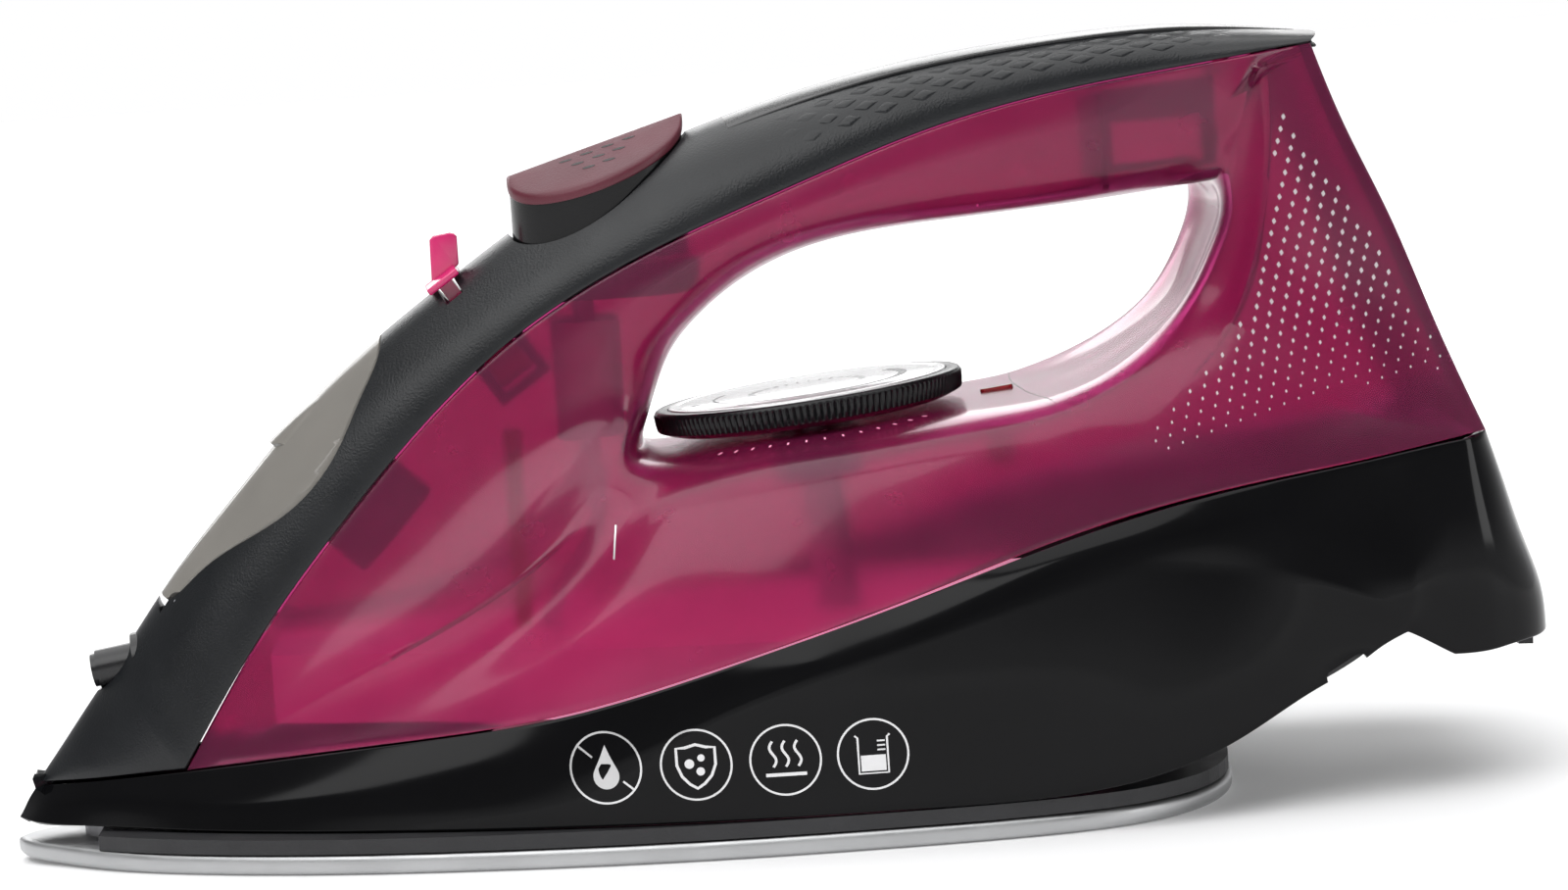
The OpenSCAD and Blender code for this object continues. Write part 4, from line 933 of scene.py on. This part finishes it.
def temperature_dial():
    profile = [(0, -5.4), (24.5, -5.4), (25.7, -5.3), (27.2, -4.85), (28.3, -4.4), (28.75, -4.2),
               (29, -3.9), (29.2, -2.6), (29.3, -1.15), (29.2, -0.95), (29.1, -0.8), (28.9, -0.45),
               (28.4, -0.2), (26.75, -0.2), (26.55, -0.35), (26.5, -1.2), (0, -1.2)]
    ribbed = {5: 0.3, 6: 1.0, 7: 1.0, 8: 1.0, 9: 0.3}

    def wave(k, angles):
        trough = 0.5 - 0.5 * np.cos(angles * RIBS)
        return -RIB_DEPTH * ribbed.get(k, 0) * trough**1.4

    dial = lathe("temperature_dial", profile, RIBS * RIB_STEPS, AT_DIAL, wave, sharp=42)
    piece(dial, "dial", "dial_black", "temperature_dial")


def dial_face():
    profile = [(0, -1.15), (26.35, -1.15), (26.35, -0.18), (26.2, -0.05), (25.9, 0), (24.6, 0),
               (24.45, -0.12), (24.25, -0.12), (24.1, 0), (0, 0)]
    face = lathe("dial_face", profile, 160, AT_DIAL, sharp=60)
    piece(face, "dial", "dial_silver", "dial_face")


# ---- prints and small relief ----
class Print:
    """Thin marks on a surface. where(a, b) gives the surface's point in millimetres and its normal."""

    def __init__(self, where, lift=0.06, sink=0.12):
        self.where, self.lift, self.sink = where, lift, sink
        self.verts, self.faces = [], []

    def put(self, a, b):
        """Adds a point of the mark's top and the one under it, and returns the first one's number."""
        point, normal = self.where(a, b)
        if point is None:
            raise ValueError(f"a mark at {a:.1f}, {b:.1f} misses its surface")
        self.verts += [point + normal * self.lift, point - normal * self.sink]
        return len(self.verts) - 2

    def area(self, outline):
        index = [self.put(a, b) for a, b in outline]
        self.faces += [tuple(index), tuple(i + 1 for i in reversed(index))]
        for i, k in zip(index, index[1:] + index[:1]):
            self.faces.append((i, i + 1, k + 1, k))

    def line(self, points, width, closed=False):
        p = np.asarray(points, float)
        ahead, behind = (np.roll(p, -1, 0), np.roll(p, 1, 0)) if closed else (
            np.concatenate([p[1:], p[-1:]]), np.concatenate([p[:1], p[:-1]]))
        along = ahead - behind
        along /= np.linalg.norm(along, axis=1, keepdims=True)
        side = np.column_stack([-along[:, 1], along[:, 0]]) * width / 2
        left = [self.put(*q) for q in p + side]
        right = [self.put(*q) for q in p - side]
        n = len(p)
        for k in range(n if closed else n - 1):
            m = (k + 1) % n
            self.faces += [(left[k], left[m], right[m], right[k]),
                           (left[k] + 1, right[k] + 1, right[m] + 1, left[m] + 1),
                           (left[k], left[k] + 1, left[m] + 1, left[m]),
                           (right[k], right[m], right[m] + 1, right[k] + 1)]
        if not closed:
            self.faces += [(left[0], right[0], right[0] + 1, left[0] + 1),
                           (left[-1], left[-1] + 1, right[-1] + 1, right[-1])]

    def ring(self, a, b, r, width, steps=40):
        q = np.arange(steps) * 2 * math.pi / steps
        self.line(np.column_stack([a + r * np.cos(q), b + r * np.sin(q)]), width, closed=True)

    def disc(self, a, b, ra, rb=None, steps=16, tilt=0.0):
        q = np.arange(steps) * 2 * math.pi / steps
        rb = rb or ra
        c, s = math.cos(math.radians(tilt)), math.sin(math.radians(tilt))
        u, v = ra * np.cos(q), rb * np.sin(q)
        self.area(np.column_stack([a + c * u - s * v, b + s * u + c * v]))

    def make(self, name, body, slot):
        return piece(add_mesh(name, self.verts, self.faces), body, slot)


def looking_at(obj, start, direction):
    """The first point of obj's surface from start(a, b), and its normal."""
    skin = BVHTree.FromObject(obj, bpy.context.evaluated_depsgraph_get())

    def where(a, b):
        hit, normal = skin.ray_cast(Vector(start(a, b)) * MM, Vector(direction))[:2]
        return (None, None) if hit is None else (np.array(hit) / MM, np.array(normal))
    return where


def on_side(obj, side):
    """obj's near (-1) or far (1) side, by x and height."""
    return looking_at(obj, lambda x, z: (x, side * 100, z), (0, -side, 0))


def from_above(obj, height):
    return looking_at(obj, lambda x, y: (x, y, height), (0, 0, -1))


def on_plane(place):
    """The flat surface at a frame's own X and Y."""
    normal = np.array(place.to_3x3() @ Vector((0, 0, 1)))
    return lambda a, b: (np.array(place @ (Vector((a, b, 0)) * MM)) / MM, normal)


DOT_ACROSS, DOT_DOWN = np.array((2.1, -1.4)), np.array((-0.63, -2.16))
DOT_START = np.array((93.0, 128.0))
DOT_LOW = ((60, 62.5), (72, 65.6), (90, 69.6), (105, 74.2), (122, 76))
DOT_REAR = ((76, 122.6), (86, 117.6), (102.5, 109.6), (117, 100.6), (128, 94.5))


def panel_dots(tank):
    """Small lozenges in slanting rows on the rear panels, smaller towards the bottom."""
    edge = sorted((row[2][2], row[2][0]) for row in TANK[UPPER_REAR : LOWER_REAR + 3])
    for side, name in ((-1, "dots_near"), (1, "dots_far")):
        marks = Print(on_side(tank, side), 0.03, 0.1)
        for i in range(-8, 26):
            for k in range(0, 34):
                x, z = DOT_START + i * DOT_ACROSS + k * DOT_DOWN
                low = np.interp(x, *zip(*DOT_LOW))
                front = np.interp(z, *zip(*edge)) + 1.6
                rear = np.interp(z, *zip(*DOT_REAR))
                if z > low and front < x < rear:
                    size = np.clip(0.4 + (z - low) / 36, 0, 0.92)
                    w, h = 0.42 * size, 0.66 * size
                    marks.area([(x - w, z + 0.1), (x + 0.08, z + h), (x + w, z - 0.1), (x - 0.08, z - h)])
        marks.make(name, "root", "clear_hose")


def level_lines(tank):
    for side, name in ((-1, "level_near"), (1, "level_far")):
        marks = Print(on_side(tank, side), 0.03, 0.1)
        marks.line([(-29.3, 58.7), (-29.7, 55.8), (-30.1, 52.9)], 0.3)
        marks.make(name, "root", "dial_silver")


def deck_marks(tank):
    """The seam across the deck behind the dial, and the dial's scale in front of it."""
    seam = Print(from_above(tank, 98), 0.02, 0.15)
    y = np.linspace(-36, 36, 33)
    seam.line(np.column_stack([48.5 + 2.6 * (y / 36) ** 2, y]), 0.22)
    seam.make("deck_seam", "root", "underside_black")
    scale = Print(from_above(tank, 98), 0.03, 0.12)
    for q in np.radians(np.arange(-126, -53, 6)):
        c, s = math.cos(q), math.sin(q)
        scale.line([(9.5 + 31.4 * c, 31.4 * s), (9.5 + 32.6 * c, 32.6 * s)], 0.3)
    # the scale's ticks are printed marks in the glowing pink finish, so they also glow: painted light
    scale.make("dial_scale", "root", "floor_pale")


ICON_X = (-34.3, -18.4, -2.7, 12.7)
ICON_Z, ICON_R, STROKE = 17.2, 6.2, 0.36
SHIELD = [(0, 3.6), (1.8, 3.1), (3.4, 3), (3.4, 0), (2.6, -2), (1.3, -3.4), (0, -4.2), (-1.3, -3.4),
          (-2.6, -2), (-3.4, 0), (-3.4, 3), (-1.8, 3.1)]


def around(x, *points):
    """Points of the pictogram at x, given from its middle."""
    return [(x + a, ICON_Z + b) for a, b in points]


def icons(housing):
    """Four round pictograms with no words: drop, shield, steam and water level."""
    marks = Print(on_side(housing, -1), 0.1, 0.1)
    for x in ICON_X:
        marks.ring(x, ICON_Z, ICON_R, STROKE, 56)
    drop, shield, steam, level = ICON_X
    q = np.radians(np.arange(-210, 31, 15))
    bowl = np.column_stack([drop + 2.3 * np.cos(q), ICON_Z - 1.4 + 2.3 * np.sin(q)])
    marks.area(np.concatenate([bowl, around(drop, (0.9, 1.9), (0, 4), (-0.9, 1.9))]))
    marks.line(around(drop, (-4.6, 3.8), (-2.3, 1.9)), STROKE)
    marks.line(around(drop, (2.9, -2.4), (4.7, -3.9)), STROKE)
    marks.line(around(shield, *SHIELD), 0.5, closed=True)
    for a, b, r in ((-1.2, 0.2, 0.85), (0.9, 1.2, 0.65), (0.7, -1.2, 0.75)):
        marks.disc(shield + a, ICON_Z + b, r)
    t = np.linspace(0, 1, 15)
    for a in (-2.2, 0, 2.2):
        wisp = steam + a + 0.55 * np.sin(t * 2 * math.pi)
        marks.line(np.column_stack([wisp, ICON_Z - 1.2 + 4.6 * t]), 0.45)
    marks.line(around(steam, (-3.6, -2.6), (3.6, -2.6)), 0.6)
    marks.line(around(level, (-3.1, 3.4), (-2.6, 3), (-2.6, -3.4), (2.6, -3.4), (2.6, 3), (3.1, 3.4)), STROKE)
    marks.area(around(level, (-2.2, -3), (2.2, -3), (2.2, -0.2), (-2.2, -0.2)))
    for b in (0.7, 1.5, 2.3):
        marks.line(around(level, (0.8, b), (2.2, b)), 0.28)
    marks.make("icons", "root", "dial_silver")


def dial_marks():
    """Dots that count the settings, and a band that widens with the heat."""
    marks = Print(on_plane(AT_DIAL), 0.03, 0.08)
    q = np.radians(np.linspace(150, 390, 60))
    inner = np.column_stack([17.5 * np.cos(q), 17.5 * np.sin(q)])
    outer_r = 17.7 + np.linspace(0, 1.7, 60)
    outer = np.column_stack([outer_r * np.cos(q), outer_r * np.sin(q)])
    for k in range(59):
        marks.area([inner[k], inner[k + 1], outer[k + 1], outer[k]])
    for count, angle in ((1, 190), (2, 235), (3, 290)):
        for k in range(count):
            a = math.radians(angle + (k - (count - 1) / 2) * 6)
            marks.disc(21.6 * math.cos(a), 21.6 * math.sin(a), 0.75)
    for angle in range(0, 360, 12):
        a = math.radians(angle)
        marks.line([(10 * math.cos(a), 10 * math.sin(a)), (11.2 * math.cos(a), 11.2 * math.sin(a))], 0.3)
    marks.make("dial_marks", "dial", "dial_black")


DASHES = {3.2: (-33.4, -29.4, -25.4, -21.4), 5.8: (-31.2, -27.2, -23.4), 8.4: (-29.2, -25.4)}


def button_dashes(caps):
    """Rows of slanting dashes on each button's cap, by distance from the middle line."""
    for side, body in ((-1, "steam_button"), (1, "spray_button")):
        marks = Print(from_above(caps[body], 140), 0.04, 0.1)
        for y, row in DASHES.items():
            for x in row:
                marks.disc(x, side * y, 1.25, 0.34, 14, tilt=side * 10)
        marks.make(body + "_dashes", body, "sleeve_black")


LOZENGE = (2.9, 1.5)
LOZENGE_PITCH = 7.4
LOZENGE_ROWS = (7.0, 9.2, 11.4, 13.6)
LOZENGE_H = 0.28


def slab_faces(base, n):
    """Faces of a closed slab: n by n points on top, numbered from base, then as many under them."""
    under = n * n
    faces = []
    for k in (base + a * n + b for a in range(n - 1) for b in range(n - 1)):
        faces.append((k, k + 1, k + n + 1, k + n))
        faces.append((k + under, k + under + n, k + under + n + 1, k + under + 1))
    border = [a * n for a in range(n)] + [(n - 1) * n + b for b in range(1, n)]
    border += [a * n + n - 1 for a in range(n - 2, -1, -1)] + list(range(n - 2, 0, -1))
    for a, b in zip(border, border[1:] + border[:1]):
        faces.append((base + a, base + b, base + under + b, base + under + a))
    return faces


def handle_relief():
    """Rows of low lozenges on both sides of the handle, lower towards the ends."""
    skin, out = COVER_SKIN, normals(COVER_SKIN, False)
    grid = np.linspace(-1, 1, 7)

    def where(i, j):
        a, b = int(i), int(j)
        f, g = i - a, j - b
        parts = ((1 - f) * (1 - g), f * (1 - g), (1 - f) * g, f * g)
        corners = ((a, b), (a + 1, b), (a, b + 1), (a + 1, b + 1))
        return [sum(w * table[c] for w, c in zip(parts, corners)) for table in (skin, out)]

    verts, faces = [], []
    middle = skin[:, COVER_V // 2]
    along = np.concatenate([[0], np.cumsum(np.linalg.norm(np.diff(middle, axis=0), axis=1))])
    first = along[np.searchsorted(middle[:, 0], 2)]
    last = along[np.searchsorted(middle[:, 0], 92)]
    for row, column in enumerate(LOZENGE_ROWS):
        spots = np.arange(first + LOZENGE_PITCH / 2 * (row % 2), last, LOZENGE_PITCH)
        for s in spots:
            fade = min(1, (s - first + 4) / 20, (last - s + 4) / 20)
            for mirror in (False, True):
                base = len(verts)
                for level in (0, 1):
                    for p in grid:
                        for q in grid:
                            u, v = LOZENGE[0] * (p + q) / 2, LOZENGE[1] * (p - q) / 2
                            i = np.interp(s + u, along, np.arange(len(along)))
                            step = np.linalg.norm(skin[int(i), int(column) + 1] - skin[int(i), int(column)])
                            j = column + v / step
                            point, normal = where(i, 2 * COVER_V - j if mirror else j)
                            rise = LOZENGE_H * fade * (1 - p**4) * (1 - q**4) - 0.06
                            verts.append(point + normal * (rise if level == 0 else -0.3))
                faces += slab_faces(base, len(grid))
    piece(add_mesh("handle_relief", verts, faces, sharp=70), "root", "cover_satin")


# ---- light, floor and camera ----
FLOOR_SIDES = 96
FLOOR_RINGS = (0.3, 1, 3, 9, 30)


def stage():
    """A pale round floor that grows brighter with distance, so that it has no visible end."""
    n = Nodes("floor")
    n.set("Roughness", 0.6)
    n.set("Specular IOR Level", 0.2)
    n.set("Base Color", n.mix(n.spread(n.noise(3, 2), 0, 1), (0.86, 0.86, 0.865), (0.88, 0.88, 0.885)))
    length = n.add("ShaderNodeVectorMath", {0: n.place}, operation="LENGTH").outputs["Value"]
    n.set("Emission Color", (1.0, 1.0, 1.0))
    n.set("Emission Strength", n.spread(length, 0.1, 0.95, 0.35, 1.6))
    mesh = bpy.data.meshes.new("floor")
    q = np.arange(FLOOR_SIDES) * 2 * math.pi / FLOOR_SIDES
    bm = bmesh.new()
    rings = [[bm.verts.new((r * math.cos(a), r * math.sin(a), 0)) for a in q] for r in FLOOR_RINGS]
    bm.faces.new(rings[0])
    for inner, outer in zip(rings, rings[1:]):
        for k in range(FLOOR_SIDES):
            m = (k + 1) % FLOOR_SIDES
            bm.faces.new((inner[k], inner[m], outer[m], outer[k]))
    bmesh.ops.recalc_face_normals(bm, faces=bm.faces)
    bm.to_mesh(mesh)
    bm.free()
    floor = bpy.data.objects.new("floor", mesh)
    bpy.context.scene.collection.objects.link(floor)
    mesh.materials.append(n.material)


def world():
    w = bpy.data.worlds.new("studio")
    bpy.context.scene.world = w
    w.use_nodes = True
    tree = w.node_tree
    sky = tree.nodes["Background"]
    coord = tree.nodes.new("ShaderNodeTexCoord")
    split = tree.nodes.new("ShaderNodeSeparateXYZ")
    ramp = tree.nodes.new("ShaderNodeValToRGB")
    tree.links.new(coord.outputs["Generated"], split.inputs[0])
    tree.links.new(split.outputs["Z"], ramp.inputs[0])
    tree.links.new(ramp.outputs[0], sky.inputs["Color"])
    stops = [(0.0, 1.0), (0.05, 1.0), (0.2, 0.3), (0.5, 0.16), (1.0, 0.3)]
    marks = ramp.color_ramp.elements
    while len(marks) < len(stops):
        marks.new(0.5)
    for mark, (spot, value) in zip(marks, stops):
        mark.position = spot
        mark.color = (value, value, value * 1.01, 1)


def softbox(name, spot, target, size, power):
    light = bpy.data.lights.new(name, "AREA")
    light.shape = "RECTANGLE"
    light.size, light.size_y = size
    light.energy = power
    obj = bpy.data.objects.new(name, light)
    obj.location = spot
    obj.rotation_euler = (Vector(target) - Vector(spot)).to_track_quat("-Z", "Y").to_euler()
    bpy.context.scene.collection.objects.link(obj)


def camera():
    """The view from the near side at the handle's height, tipped down and rolled a little."""
    yaw, pitch, roll = (math.radians(a) for a in (3.0, 5.53, 3.95))
    ahead = Vector((math.sin(yaw) * math.cos(pitch), math.cos(yaw) * math.cos(pitch), -math.sin(pitch)))
    right = Vector((math.cos(yaw), -math.sin(yaw), 0))
    up = right.cross(ahead)
    side = math.cos(roll) * right - math.sin(roll) * up
    top = math.sin(roll) * right + math.cos(roll) * up
    data = bpy.data.cameras.new("camera")
    data.lens = 93.4
    data.sensor_width = 36
    data.clip_start, data.clip_end = 0.01, 200
    obj = bpy.data.objects.new("camera", data)
    spot = Vector((-0.0362, -0.7618, 0.1412))
    obj.matrix_world = Matrix.Translation(spot) @ Matrix((side, top, -ahead)).transposed().to_4x4()
    bpy.context.scene.collection.objects.link(obj)
    bpy.context.scene.camera = obj


stage()
world()
softbox("key", (-0.55, -0.75, 1.0), (0, 0, 0.06), (1.1, 0.8), 8)
softbox("overhead", (0.05, 0.1, 1.15), (0, 0, 0.06), (1.8, 1.4), 16)
softbox("right", (1.1, -0.7, 0.45), (0.08, 0, 0.05), (0.35, 0.6), 2.5)
softbox("back", (-0.2, 1.5, 0.7), (0, 0, 0.1), (1.6, 0.6), 9)
camera()
bpy.context.scene.view_settings.view_transform = "Standard"

tank = water_tank()
rear_cover()
nose_cover()
filler_lid()
handle_inlay()
housing = lower_housing()
base_cover()
soleplate()
caps = {body: button(side, body, body) for side, body in ((-1, "steam_button"), (1, "spray_button"))}
temperature_dial()
dial_face()
panel_dots(tank)
level_lines(tank)
deck_marks(tank)
icons(housing)
dial_marks()
button_dashes(caps)
handle_relief()
steam_lever()
handle_rib()
for node, width in {"spray_nozzle": 0.3, "nozzle_ring": 0.3, "heat_shield": 0.35, "dock_socket": 0.3,
                    "pilot_lens": 0.2}.items():
    bevel(frame["nodes"][node], width)
